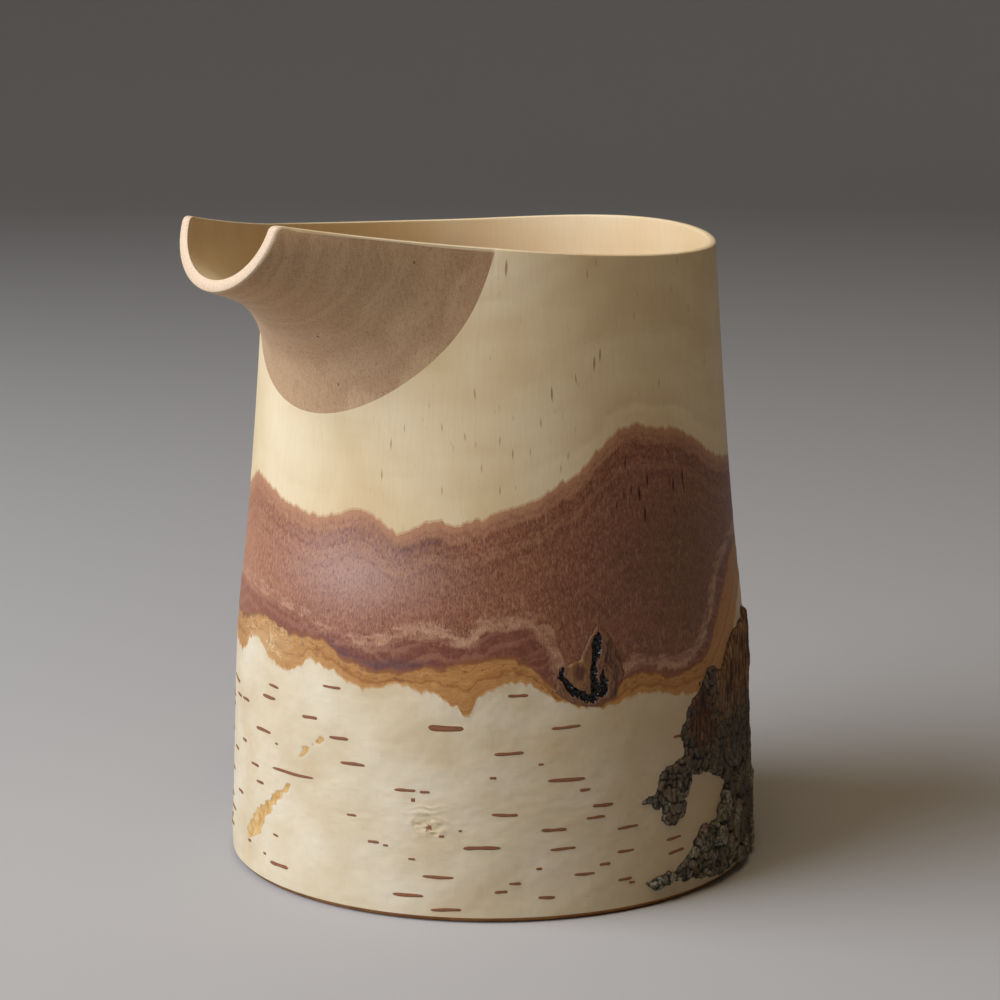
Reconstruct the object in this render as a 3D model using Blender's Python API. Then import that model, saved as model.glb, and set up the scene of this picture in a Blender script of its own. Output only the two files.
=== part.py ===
"""A spouted jug hollowed from one length of birch log, with the bark left on round its foot.

The floor is z = 0 and +Z is up. The spout points along -X. Every length below is in
millimetres and every angle in degrees. A place on the jug is given by a turn about the
log's axis, counted from the spout towards -Y, and a height. "Forward" is the distance
from the log's axis towards the spout, "sideways" the distance towards -Y.
"""

import math

import bmesh
import bpy
import numpy as np

MM = 0.001
GAP = 0.3  # clearance between neighbouring pieces
WELD = 0.001  # points this close are one

# The log's outer surface, from foot to rim: height and radius.
LOG_PROFILE = [(0, 72.4), (25, 71.4), (66, 69.9), (90, 67.2), (120, 64.5), (170, 61.0), (185, 60.0)]
FOOT_RADIUS = LOG_PROFILE[0][1]

# The hollow inside: height and radius.
HOLLOW_PROFILE = [(0, 59.5), (30, 59.9), (70, 60.8), (110, 60.8), (140, 60.1), (170, 58.7), (185, 57.8)]

# Rim: two parabolas that meet at its lowest place.
RIM_RADIUS = 61.0
RIM_LOW_HEIGHT = 169.3
RIM_LOW_FORWARD = -30.0
BACK_RISE = 2.2  # over the last 30 mm towards the back

# Spout lip: half an ellipse in a plane that leans back, with its open side up.
LIP_TOP = 180.6
LIP_HALF_WIDTH = 18.6
LIP_DEPTH = 17.4
LIP_WALL = 3.0
LIP_FORWARD = 94.1  # where the lip's plane crosses z = LIP_PLANE_HEIGHT
LIP_PLANE_HEIGHT = 170.0
LIP_LEAN = 0.39  # forward travel for each millimetre down

# Scoop between the crease on the log and the lip.
SCOOP_HALF_TURN = 47.5  # where the crease meets the rim
CREASE_LOW = 129.0
CREASE_BOWL = 32.3  # rise of the crease's parabola out to the rim
CREASE_STEEPENING = 12  # power of the term that turns it up to meet the rim
CREASE_BREAK = 4.0  # angle by which the scoop breaks outward from the log at its lowest place
SHOULDER_BREAK = 12.6  # and where the spout's straight rim leaves the round rim
SHOULDER_RISE = 5.6  # slope of the straight rim there
LIP_RISE = 21.0  # slope of the spout's underside where it meets the lip
TAPER_IN_PLAN = 28.3  # angle in plan between the spout's straight rims and its axis
LEAVING_PULL = 1.75  # strength of the underside's curve at the crease, as a share of its chord
REACHING_PULL = 0.7  # and at the lip

# Layer boundaries round the jug: turn and height.
WOOD_EDGE = [
    (-33, 105.3), (-26, 108.7), (-19, 107.9), (-9, 104.6), (3, 102.5), (15, 105.6), (26, 100.4),
    (35, 103.8), (47, 106), (58, 110.2), (67, 116), (72, 122), (79, 126.7), (89, 125), (99, 122.4),
    (109, 116.5), (129, 111.4), (150, 106), (172, 101), (195, 104), (215, 110), (235, 114),
    (255, 109), (275, 103), (295, 99), (312, 101.5),
]
CORK_EDGE = [
    (-33, 69.8), (-25, 70.2), (-15, 73), (-4, 71), (9, 70), (20, 65.6), (34, 66.7), (50, 69.5),
    (58, 64.5), (66, 60.4), (78, 62.7), (91, 61), (99, 63.4), (106, 71.6), (112, 79.5), (124, 87.5),
    (140, 84), (155, 74), (175, 66), (200, 70), (225, 74), (250, 68), (275, 63), (300, 67),
]
WHITE_EDGE = [
    (-33, 61.1), (-25, 61.5), (-15, 65.6), (-7, 62), (4, 65), (15, 61.2), (28, 62), (37, 58.8),
    (42, 55.8), (51, 63.2), (57, 60.8), (66, 56.5), (75, 56.4), (82, 57.8), (95, 54.8), (104, 56.5),
    (113, 63), (122, 73), (135, 78), (147, 73), (160, 64), (178, 58), (200, 62), (225, 66),
    (250, 60), (275, 55), (300, 59),
]

# Depth of each layer's back face below the log's surface.
WHITE_DEPTH = 0.9
CORK_DEPTH = 2.0
WOOD_STEP = 1.0
FOOT_CHAMFER = 1.5

# Fitted bottom board, held by a tongue in a groove.
BOARD_BOTTOM = 5.0
BOARD_THICKNESS = 8.0
GROOVE_DEPTH = 1.5
TONGUE_FLAT = 1.2
TONGUE_ROOT = 4.8

# Branch knot and bark plates: outlines as turn and height, widest way round.
KNOT_OUTLINE = [
    (60.5, 61), (62, 66.5), (65, 70), (68.5, 75), (71.5, 75.5), (74, 71), (75.5, 65), (74, 59),
    (70, 56), (64, 57.3),
]
KNOT_ROOT_RADIUS = 66.3
UPPER_PLATE_OUTLINE = [
    (102, 62), (97, 56), (93, 51), (92, 44), (92.5, 38), (96, 34), (103, 30), (115, 27.5),
    (128, 24.5), (140, 27), (150, 34), (154, 45), (150, 58), (140, 66), (128, 68.5), (114, 66.5),
]
LEFT_PLATE_OUTLINE = [
    (80.5, 28.5), (84, 31), (85.5, 35), (88.5, 36), (91.5, 33), (93, 28), (92, 23), (89, 20),
    (86, 21.5), (84, 26.5),
]
LOWER_PLATE_OUTLINE = [
    (94, 12), (96, 16), (104, 18.5), (107, 22), (111, 25), (126, 21.3), (142, 22), (155, 16),
    (158, 9), (150, 5.5), (130, 4.5), (110, 4.5), (95, 5), (84, 5.3), (83, 7.3), (90, 8.7),
]
PLATE_PROUD = 1.2
PLATE_SUNK = 0.6
PRISM_START, PRISM_END = 30.0, 85.0  # reach of the blocks that cut these outlines

# Grid sizes.
SCOOP_COLUMNS = 28
BARREL_COLUMNS = 60
SCOOP_ROWS = 8
WALL_ROWS = 4


def through(points, x, period=None):
    """Cubic curve through the points, with each slope taken from the neighbours on both sides."""
    xs, ys = np.array(points, float).T
    if period:
        xs = np.concatenate([xs[-2:] - period, xs, xs[:2] + period])
        ys = np.concatenate([ys[-2:], ys, ys[:2]])
        x = xs[2] + (x - xs[2]) % period
    slope = np.gradient(ys, xs)
    k = np.clip(np.searchsorted(xs, x, side="right") - 1, 0, len(xs) - 2)
    span = xs[k + 1] - xs[k]
    u = (x - xs[k]) / span
    here = (1 + 2 * u) * (1 - u) ** 2 * ys[k] + u * (1 - u) ** 2 * span * slope[k]
    there = u * u * (3 - 2 * u) * ys[k + 1] + u * u * (u - 1) * span * slope[k + 1]
    return here + there


def log_radius(height):
    return through(LOG_PROFILE, height)


def hollow_radius(height):
    return through(HOLLOW_PROFILE, height)


def wood_edge(turn):
    return through(WOOD_EDGE, turn, 360)


def cork_edge(turn):
    return through(CORK_EDGE, turn, 360)


def white_edge(turn):
    return through(WHITE_EDGE, turn, 360)


def wood_radius(turn):
    """Radius of the wood under the bark, which the tapering cut lays bare at the wood's edge."""
    return log_radius(wood_edge(turn)) - WOOD_STEP


def at(radius, turn, height):
    """A place on the log as (forward, sideways, height)."""
    angle = math.radians(turn)
    return np.array([radius * math.cos(angle), radius * math.sin(angle), height])


def rim_height(forward):
    """Height of the rim: it sweeps up to the lip's corners and a little to the back."""
    reach = forward - RIM_LOW_FORWARD
    if reach < 0:
        return RIM_LOW_HEIGHT + BACK_RISE * (reach / 30) ** 2
    return RIM_LOW_HEIGHT + (LIP_TOP - RIM_LOW_HEIGHT) * (reach / lip_reach()) ** 2


def lip_reach():
    """Distance in plan from the rim's lowest place to the lip's corners."""
    return LIP_FORWARD - LIP_LEAN * (LIP_TOP - LIP_PLANE_HEIGHT) - RIM_LOW_FORWARD


def lip_point(sweep, wall):
    """Point of the lip's half ellipse: sweep runs from -90 to 90 degrees, 0 at the bottom."""
    angle = math.radians(sweep)
    height = LIP_TOP - (LIP_DEPTH - wall) * math.cos(angle)
    forward = LIP_FORWARD - LIP_LEAN * (height - LIP_PLANE_HEIGHT)
    return np.array([forward, (LIP_HALF_WIDTH - wall) * math.sin(angle), height])


def body_top(turn):
    """Height at which the round body ends: at the crease under the spout, and at the rim elsewhere."""
    turn = (turn + 180) % 360 - 180
    if abs(turn) >= SCOOP_HALF_TURN:
        return rim_height(RIM_RADIUS * math.cos(math.radians(turn)))
    share = abs(turn) / SCOOP_HALF_TURN
    shoulder = rim_height(RIM_RADIUS * math.cos(math.radians(SCOOP_HALF_TURN)))
    steep = shoulder - CREASE_LOW - CREASE_BOWL
    return CREASE_LOW + CREASE_BOWL * share**2 + steep * share**CREASE_STEEPENING


def grain_line(share, inside):
    """Points of a Hermite cubic from the crease out to the lip.

    Its share, from -1 to 1, places both ends: 0 is the middle of the underside, and at 1
    and -1 it is the spout's straight rim. It leaves the crease square to it, tipped
    outward by the break angle, and reaches the lip along the spout, which tapers.
    """
    turn, sweep = SCOOP_HALF_TURN * share, math.radians(90 * share)
    wall, profile = (LIP_WALL, hollow_radius) if inside else (0, log_radius)
    height = body_top(turn)
    start, end = at(profile(height), turn, height), lip_point(90 * share, wall)
    length = np.linalg.norm(end - start)

    step = 0.01
    before, after = body_top(max(turn - step, -SCOOP_HALF_TURN)), body_top(min(turn + step, SCOOP_HALF_TURN))
    slope = math.atan2(after - before, RIM_RADIUS * 2 * math.radians(step))
    if abs(share) == 1:
        slope = math.copysign(math.radians(90 - SHOULDER_RISE), share)
    outward = at(1, turn, 0)
    around = at(1, turn + 90, 0)
    tip = math.radians(CREASE_BREAK + (SHOULDER_BREAK - CREASE_BREAK) * share**2)
    leaving = math.cos(slope) * np.array([0, 0, 1]) - math.sin(slope) * around
    leaving = math.cos(tip) * leaving + math.sin(tip) * outward

    side = math.sin(sweep)
    plan = -math.radians(TAPER_IN_PLAN) * side
    rim_slope = 2 * (LIP_TOP - RIM_LOW_HEIGHT) / lip_reach() * math.cos(plan)
    rise = math.tan(math.radians(LIP_RISE)) * (1 - side**2) + rim_slope * side**2
    reaching = np.array([math.cos(plan), math.sin(plan), rise])
    reaching /= np.linalg.norm(reaching)

    leaving *= length * (LEAVING_PULL + (1 - LEAVING_PULL) * side**2)
    reaching *= length * (REACHING_PULL + (1 - REACHING_PULL) * side**2)
    return [
        (1 + 2 * u) * (1 - u) ** 2 * start
        + u * (1 - u) ** 2 * leaving
        + u * u * (3 - 2 * u) * end
        + u * u * (u - 1) * reaching
        for u in np.linspace(0, 1, SCOOP_ROWS + 1)
    ]


def column_turns():
    """Turns of the grid's columns: those of the scoop first, then those of the rest of the body."""
    scoop = np.linspace(-SCOOP_HALF_TURN, SCOOP_HALF_TURN, SCOOP_COLUMNS + 1)
    barrel = np.linspace(SCOOP_HALF_TURN, 360 - SCOOP_HALF_TURN, BARREL_COLUMNS + 1)
    return np.concatenate([scoop, barrel[1:-1]])


def spout_reach():
    """Distance from the log's axis to the tip of the lip."""
    return lip_point(0, 0)[0]


def new_material(name, colour, roughness):
    material = bpy.data.materials.new(name)
    material.use_nodes = True
    shader = material.node_tree.nodes["Principled BSDF"]
    shader.inputs["Base Color"].default_value = (*colour, 1)
    shader.inputs["Roughness"].default_value = roughness
    shader.inputs["Metallic"].default_value = 0
    return material


def new_object(name, bm, material, parent):
    bmesh.ops.recalc_face_normals(bm, faces=bm.faces)
    mesh = bpy.data.meshes.new(name)
    bm.to_mesh(mesh)
    bm.free()
    obj = bpy.data.objects.new(name, mesh)
    bpy.context.scene.collection.objects.link(obj)
    obj.parent = parent
    if material:
        mesh.materials.append(material)
    mesh.shade_smooth()
    mesh.set_sharp_from_angle(angle=math.radians(30))
    return obj


def weave(bm, columns, joined=False, ring=False):
    """Quads between neighbouring columns of places given as (forward, sideways, height).

    When joined, the last column meets the first. When ring, so do each column's ends.
    """
    rows = []
    for column in columns:
        rows.append([bm.verts.new((-forward * MM, -side * MM, height * MM)) for forward, side, height in column])
    for k in range(0 if joined else 1, len(rows)):
        for j in range(0 if ring else 1, len(rows[k])):
            bm.faces.new((rows[k - 1][j - 1], rows[k - 1][j], rows[k][j], rows[k][j - 1]))


def loft(section):
    """Closed ring whose cross-section at each turn is the closed list of points section(turn)."""
    bm = bmesh.new()
    weave(bm, [section(turn) for turn in column_turns()], joined=True, ring=True)
    return bm


def stacked(turn, profile):
    """Section points at this turn from a list of (radius, height)."""
    return [at(radius, turn, height) for radius, height in profile]


def inset_outline(points, inset):
    """The outline drawn in by this much: each corner slides along its two sides' bisector."""
    before = points - np.roll(points, 1, axis=0)
    after = np.roll(before, -1, axis=0)
    before /= np.linalg.norm(before, axis=1, keepdims=True)
    after /= np.linalg.norm(after, axis=1, keepdims=True)
    bisector = np.column_stack([-before[:, 1] - after[:, 1], before[:, 0] + after[:, 0]])
    reach = 1 + (before * after).sum(axis=1, keepdims=True)
    twice_area = np.cross(points, np.roll(points, -1, axis=0)).sum()
    return points + bisector / reach * inset * math.copysign(1, twice_area)


def prism(outline, inset):
    """Straight-sided block with this outline, pushed out through the jug's side."""
    turns, heights = np.array(outline, float).T
    middle = (turns.min() + turns.max()) / 2
    across = log_radius(heights.mean()) * np.sin(np.radians(turns - middle))
    flat = inset_outline(np.column_stack([across, heights]), inset)
    axis = math.radians(middle)
    bm = bmesh.new()
    verts = []
    for side, height in flat:
        forward = PRISM_START * math.cos(axis) - side * math.sin(axis)
        sideways = PRISM_START * math.sin(axis) + side * math.cos(axis)
        verts.append(bm.verts.new((-forward * MM, -sideways * MM, height * MM)))
    made = bmesh.ops.extrude_face_region(bm, geom=[bm.faces.new(verts)])
    moved = [item for item in made["geom"] if isinstance(item, bmesh.types.BMVert)]
    push = (PRISM_END - PRISM_START) * MM
    bmesh.ops.translate(bm, verts=moved, vec=(-push * math.cos(axis), -push * math.sin(axis), 0))
    return bm


def cutter(name, outline, inset, parent):
    obj = new_object(name, prism(outline, inset), None, parent)
    obj.hide_render = True
    obj.display_type = "WIRE"
    return obj


def combine(obj, operation, other):
    modifier = obj.modifiers.new(other.name, "BOOLEAN")
    modifier.operation = operation
    modifier.solver = "EXACT"
    modifier.object = other


def jug_wall(parent):
    """Hollowed sapwood with its spout, rebated outside for the bark and grooved for the board."""
    middle = BOARD_BOTTOM + BOARD_THICKNESS / 2
    bore = hollow_radius(middle)
    half_flat, half_root = TONGUE_FLAT / 2 + GAP / 2, TONGUE_ROOT / 2 + GAP

    def section(turn):
        """From the hollow's top edge down, under the foot, and up the outside."""
        top, edge, under = body_top(turn), wood_edge(turn), wood_radius(turn)
        descent = np.linspace(top, 30, WALL_ROWS + 1)
        hollow = [(hollow_radius(height), height) for height in descent]
        groove = [
            (bore, middle + half_root),
            (bore + GROOVE_DEPTH, middle + half_flat),
            (bore + GROOVE_DEPTH, middle - half_flat),
            (bore, middle - half_root),
        ]
        rebate = [(bore, 0), (under, 0), (under, edge / 2), (under, edge)]
        cone = [(log_radius(height), height) for height in np.linspace(edge, top, WALL_ROWS + 1)]
        return stacked(turn, hollow + groove + rebate + cone)

    turns = column_turns()
    body = [section(turn) for turn in turns]
    shares = turns[: SCOOP_COLUMNS + 1] / SCOOP_HALF_TURN
    outside = [grain_line(share, False) for share in shares]
    inside = [grain_line(share, True) for share in shares]
    round_rim = body[SCOOP_COLUMNS:] + body[:1]

    bm = bmesh.new()
    weave(bm, body, joined=True)
    weave(bm, outside)
    weave(bm, inside)
    weave(bm, [(column[0], column[-1]) for column in round_rim])
    weave(bm, [(inner[-1], outer[-1]) for inner, outer in zip(inside, outside)])
    for side in (0, -1):
        weave(bm, list(zip(inside[side], outside[side])))
    bmesh.ops.remove_doubles(bm, verts=bm.verts, dist=WELD * MM)
    wood = new_material("birch_sapwood", (0.78, 0.62, 0.40), 0.55)
    return new_object("jug_wall", bm, wood, parent)


def bottom_board(parent):
    """Round board with a tongue turned round its edge."""
    middle = BOARD_BOTTOM + BOARD_THICKNESS / 2
    top = BOARD_BOTTOM + BOARD_THICKNESS
    edge = hollow_radius(middle) - GAP
    profile = [
        (0, BOARD_BOTTOM),
        (edge, BOARD_BOTTOM),
        (edge, middle - TONGUE_ROOT / 2),
        (edge + GROOVE_DEPTH, middle - TONGUE_FLAT / 2),
        (edge + GROOVE_DEPTH, middle + TONGUE_FLAT / 2),
        (edge, middle + TONGUE_ROOT / 2),
        (edge, top),
        (0, top),
    ]
    bm = bmesh.new()
    verts = [bm.verts.new((radius * MM, 0, height * MM)) for radius, height in profile]
    edges = [bm.edges.new(pair) for pair in zip(verts, verts[1:])]
    bmesh.ops.spin(
        bm, geom=verts + edges, cent=(0, 0, 0), axis=(0, 0, 1), angle=2 * math.pi, steps=72, use_merge=True
    )
    bmesh.ops.remove_doubles(bm, verts=bm.verts, dist=WELD * MM)
    board = new_material("birch_board", (0.72, 0.56, 0.36), 0.6)
    return new_object("bottom_board", bm, board, parent)


def inner_bark(parent):
    """Red-brown inner bark: it fills the rebate in the wood and steps back behind the cork."""

    def section(turn):
        back, top, step = wood_radius(turn) + GAP, wood_edge(turn) - GAP, cork_edge(turn)
        behind = CORK_DEPTH + GAP
        lower = [(log_radius(h) - behind, h) for h in (0, 25, 50, step)]
        bare = [(log_radius(h), h) for h in np.linspace(step, top, 4)]
        return stacked(turn, [(back, 0), *lower, *bare, (back, top), (back, top / 2)])

    bark = new_material("inner_bark", (0.30, 0.11, 0.05), 0.65)
    return new_object("inner_bark", loft(section), bark, parent)


def cork_layer(parent):
    """Orange cork layer: bare in a narrow band, and lying behind the white bark below it."""

    def section(turn):
        top, step = cork_edge(turn) - GAP, white_edge(turn)
        behind = WHITE_DEPTH + GAP
        foot = [(FOOT_RADIUS - CORK_DEPTH, 0), (FOOT_RADIUS - FOOT_CHAMFER, 0)]
        lower = [(log_radius(h) - behind, h) for h in (FOOT_CHAMFER - behind, 25, 45, step)]
        bare = [(log_radius(step), step), (log_radius(top), top)]
        back = [(log_radius(h) - CORK_DEPTH, h) for h in (top, 45, 25)]
        return stacked(turn, [*foot, *lower, *bare, *back])

    cork = new_material("cork_layer", (0.42, 0.19, 0.06), 0.6)
    return new_object("cork_layer", loft(section), cork, parent)


def white_bark(parent):
    """White outer bark, chamfered round the foot."""

    def section(turn):
        top = white_edge(turn) - GAP
        face = [(log_radius(h), h) for h in (FOOT_CHAMFER, 25, 45, top)]
        back = [(log_radius(h) - WHITE_DEPTH, h) for h in (top, 45, 25)]
        foot = (log_radius(0) - WHITE_DEPTH, FOOT_CHAMFER - WHITE_DEPTH)
        return stacked(turn, [*face, *back, foot])

    bark = new_material("white_bark", (0.74, 0.62, 0.44), 0.6)
    return new_object("white_bark", loft(section), bark, parent)


def shell(name, inner, outer, heights, material, parent):
    """Ring between two radii, each a function of height."""

    def section(turn):
        face = [(outer(h), h) for h in heights]
        back = [(inner(h), h) for h in reversed(heights)]
        return stacked(turn, face + back)

    return new_object(name, loft(section), material, parent)


def branch_knot(parent):
    """Resinous stub of a branch, set through the bark layers."""
    resin = new_material("knot", (0.05, 0.03, 0.02), 0.4)
    heights = (45, 66, 90)
    plug = shell("branch_knot", lambda h: KNOT_ROOT_RADIUS, log_radius, heights, resin, parent)
    combine(plug, "INTERSECT", cutter("knot_shape", KNOT_OUTLINE, GAP, parent))
    return plug


def bark_plate(name, outline, parent):
    """Plate of rough, fissured old bark that stands a little proud of the smooth bark."""
    rough = new_material(name, (0.10, 0.09, 0.07), 0.9)
    heights = (0, 12, 25, 45, 66, 80)
    plate = shell(
        name,
        lambda h: log_radius(h) - PLATE_SUNK,
        lambda h: log_radius(h) + PLATE_PROUD,
        heights,
        rough,
        parent,
    )
    combine(plate, "INTERSECT", cutter(name + "_shape", outline, GAP, parent))
    return plate


def pocket(name, floor, outline, parent):
    """Block that cuts a pocket with this outline down to the radius floor(height)."""
    heights = (-5, 12, 25, 45, 66, 90)
    body = shell(name, floor, lambda h: 84.0, heights, None, parent)
    combine(body, "INTERSECT", cutter(name + "_shape", outline, 0, parent))
    body.hide_render = True
    body.display_type = "WIRE"
    return body


def plate_floor(height):
    """Just behind the white bark, so that a plate's pocket goes right through it."""
    return log_radius(height) - WHITE_DEPTH - GAP / 2


def knot_floor(height):
    return KNOT_ROOT_RADIUS - GAP


def build():
    for obj in list(bpy.data.objects):
        bpy.data.objects.remove(obj, do_unlink=True)

    log_axis = bpy.data.objects.new("log_axis", None)
    log_axis.location.x = (spout_reach() - FOOT_RADIUS) / 2 * MM
    bpy.context.scene.collection.objects.link(log_axis)

    jug_wall(log_axis)
    bottom_board(log_axis)
    layers = [inner_bark(log_axis), cork_layer(log_axis), white_bark(log_axis)]

    branch_knot(log_axis)
    pockets = [pocket("knot_pocket", knot_floor, KNOT_OUTLINE, log_axis)]
    plates = {
        "rough_bark_upper": UPPER_PLATE_OUTLINE,
        "rough_bark_left": LEFT_PLATE_OUTLINE,
        "rough_bark_lower": LOWER_PLATE_OUTLINE,
    }
    for name, outline in plates.items():
        bark_plate(name, outline, log_axis)
        pockets.append(pocket(name + "_pocket", plate_floor, outline, log_axis))
    for layer in layers:
        for cut in pockets:
            combine(layer, "DIFFERENCE", cut)


build()
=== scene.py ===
"""The look of the spouted birch jug: carved sapwood above, layers of bark below."""
import math

import bmesh
import bpy
import numpy as np
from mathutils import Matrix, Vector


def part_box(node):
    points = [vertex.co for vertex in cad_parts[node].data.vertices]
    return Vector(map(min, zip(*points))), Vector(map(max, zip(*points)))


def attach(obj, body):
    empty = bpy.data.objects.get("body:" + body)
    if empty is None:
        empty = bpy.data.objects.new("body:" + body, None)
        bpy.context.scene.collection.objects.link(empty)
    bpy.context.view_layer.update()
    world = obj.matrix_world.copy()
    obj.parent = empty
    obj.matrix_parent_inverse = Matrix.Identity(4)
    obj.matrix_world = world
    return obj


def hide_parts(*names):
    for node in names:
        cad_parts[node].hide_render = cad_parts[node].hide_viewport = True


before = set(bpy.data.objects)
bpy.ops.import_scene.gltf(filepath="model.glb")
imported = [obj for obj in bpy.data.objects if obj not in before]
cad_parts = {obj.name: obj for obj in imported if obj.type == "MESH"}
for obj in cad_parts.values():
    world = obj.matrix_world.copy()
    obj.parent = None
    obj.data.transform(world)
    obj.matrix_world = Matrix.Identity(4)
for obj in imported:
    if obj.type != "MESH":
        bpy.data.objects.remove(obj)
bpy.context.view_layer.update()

MM = 0.001

# The log's axis stands over the middle of the bottom board. A place on the jug is given by a
# turn about that axis in degrees, from the spout towards -Y, and a height in millimetres.
# "Forward" is the distance from the axis towards the spout, "sideways" the one towards -Y.
BOARD_LOW, BOARD_HIGH = (np.array(corner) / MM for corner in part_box("bottom_board"))
AXIS = (BOARD_LOW + BOARD_HIGH)[:2] / 2

LOG_PROFILE = [(0, 72.4), (25, 71.4), (66, 69.9), (90, 67.2), (120, 64.5), (170, 61.0), (185, 60.0)]
HOLLOW_PROFILE = [(0, 59.5), (30, 59.9), (70, 60.8), (110, 60.8), (140, 60.1), (170, 58.7), (185, 57.8)]
RIM_RADIUS = 61.0
RIM_LOW_HEIGHT, RIM_LOW_FORWARD, BACK_RISE = 169.3, -30.0, 2.2
LIP_TOP, LIP_HALF_WIDTH, LIP_DEPTH, LIP_WALL = 180.6, 18.6, 17.4, 3.0
LIP_FORWARD, LIP_PLANE_HEIGHT, LIP_LEAN = 94.1, 170.0, 0.39
LIP_REACH = LIP_FORWARD - LIP_LEAN * (LIP_TOP - LIP_PLANE_HEIGHT) - RIM_LOW_FORWARD
SCOOP_HALF_TURN = 47.5
CREASE_LOW, CREASE_BOWL, CREASE_STEEPENING = 129.0, 32.3, 12
CREASE_BREAK, SHOULDER_BREAK, SHOULDER_RISE = 4.0, 12.6, 5.6
LIP_RISE, TAPER_IN_PLAN = 21.0, 28.3
LEAVING_PULL, REACHING_PULL = 1.75, 0.7
EDGE_ROUND = 0.9  # how far the rim's rounding stands above the two sheets of the wall
LIP_CORNER_ROUND = 1.7

FOOT_CHAMFER = 1.4
FAR = 9.0  # stands for "nowhere near the bark" in the values at points
BARK_RADIUS = 71  # for distances round the bark
WHITE_DEPTH, CORK_DEPTH, WOOD_STEP = 0.9, 2.0, 1.0

# Layer boundaries: turn and height.
WOOD_EDGE = [
    (-33, 105.3), (-26, 108.9), (-19, 107.7), (-13, 106.0), (-9, 104.4), (-4, 103.6), (3, 102.4),
    (9, 103.4), (14, 105.4), (18, 105.2), (23, 101.8), (26, 100.2), (30, 102.4), (35, 104.2), (38, 102.9),
    (41, 103.8), (44, 104.6), (49, 106.8), (58, 110.2), (62, 113.2), (67, 116), (70, 119.5), (73, 122.4),
    (76, 125), (80, 126.8), (89, 125.2), (95, 124.4), (99, 122.4), (104, 119.8), (109, 116.4),
    (114, 114.3), (129, 111.4), (150, 106), (161, 103), (172, 101), (183, 103.5), (195, 104),
    (205, 108), (215, 110), (235, 114), (246, 110.5), (255, 109), (275, 103), (284, 102), (295, 99),
    (312, 101.5),
]
CORK_EDGE = [
    (-33, 69.8), (-25, 70.2), (-16, 73), (-9, 72.2), (-4, 70.8), (9, 70.2), (14, 67), (22, 65.2),
    (34, 66.8), (46, 69.3), (51, 69.8), (55, 67), (58, 64.3), (60, 61.4), (66, 58.8), (72, 59.9),
    (78, 62.9), (91, 61), (97, 62.3), (103, 66.2), (106, 71.6), (111, 78.2), (117, 85), (126, 88.7),
    (140, 84), (155, 74), (175, 66), (200, 70), (225, 74), (250, 68), (275, 63), (300, 67),
]
WHITE_EDGE = [
    (-33, 61.1), (-27, 60.6), (-24, 61.4), (-21, 65), (-15, 66.2), (-12, 64), (-8, 61.8), (-3, 61),
    (1, 62.6), (4, 65.4), (8, 64.2), (13, 62.6), (16, 60.8), (20, 60.3), (27, 62.2), (31, 61.1),
    (35, 60.2), (39, 57.4), (42, 55.3), (43.5, 58.4), (46, 61.3), (51, 63.3), (55, 62.8), (59, 59.4),
    (65, 56.7), (72, 55.8), (80, 57.9), (84, 57.4), (90, 55.6), (99, 54.6), (108, 58), (114, 64),
    (122, 73), (135, 78), (147, 73), (160, 64), (169, 60.5), (178, 58), (189, 60.8), (200, 62),
    (213, 64), (225, 66), (238, 62), (250, 60), (262, 58), (275, 55), (287, 58), (300, 59),
]

# The pale vein through the inner bark, above the cork: turn and height.
VEIN_LINE = [
    (-33, 79.6), (-18, 79), (-8, 77.7), (1, 76), (8, 74.5), (13, 72.6), (18, 71.4), (23, 72), (27, 74.8),
    (32, 76), (37, 75), (42, 73.7), (45, 77.2), (50, 78.3), (56, 77.4), (58.6, 73.2), (60.5, 67.5),
    (64, 62.5), (69, 60.2), (74.5, 60.9), (77, 64), (79.3, 66), (84, 64.3), (89, 63.4), (94.5, 63.6),
    (99.8, 67.6), (103.3, 72.7), (106, 78.4), (109, 84), (114, 87.6), (123, 90.4), (133, 90.6), (143, 88),
    (155, 79.5), (166, 75.6), (175, 71.6), (188, 74.5), (200, 75), (213, 79.4), (225, 79.8), (238, 76),
    (250, 73.4), (262, 71.2), (275, 68.6), (288, 72), (300, 73.5),
]

# Bark plates and knot: outlines as turn and height.
KNOT_OUTLINE = [
    (60, 60.5), (61.2, 66.4), (65.8, 68.4), (67.8, 73.5), (70, 77), (72.6, 74.5), (74.8, 69),
    (75.8, 63.5), (73.8, 58.3), (69.5, 55.6), (63.5, 57.2),
]
UPPER_PLATE = [
    (102, 60), (98, 56), (95, 52.5), (93, 50), (91.5, 44), (91.5, 38), (92.5, 34.2), (96, 32.4), (101, 31.4),
    (106, 29), (109, 25.6), (115, 23.4), (128, 20.6), (140, 22.6), (150, 32), (154, 45), (150, 58),
    (140, 66), (128, 69.5), (119, 68), (112, 64), (107, 58),
]
LEFT_PLATE = [
    (79.5, 28), (81.5, 30.3), (84, 30.6), (85, 34.5), (88, 37), (93, 37.8), (96, 34.5), (93.6, 28),
    (92, 22.4), (89.5, 19.6), (86.4, 21), (85.5, 26), (82.5, 27),
]
LOWER_PLATE = [
    (94, 11.6), (95.5, 15.6), (99, 17.3), (104, 18.7), (106, 22.5), (107.5, 26.5), (118, 26), (126, 23.6),
    (142, 24.6), (155, 16), (158, 9), (150, 3.6), (130, 1.9), (112, 1.8), (103, 2.6), (96, 4.2), (89, 4.2),
    (82, 5), (81, 6.6), (88, 8.3),
]

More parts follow.
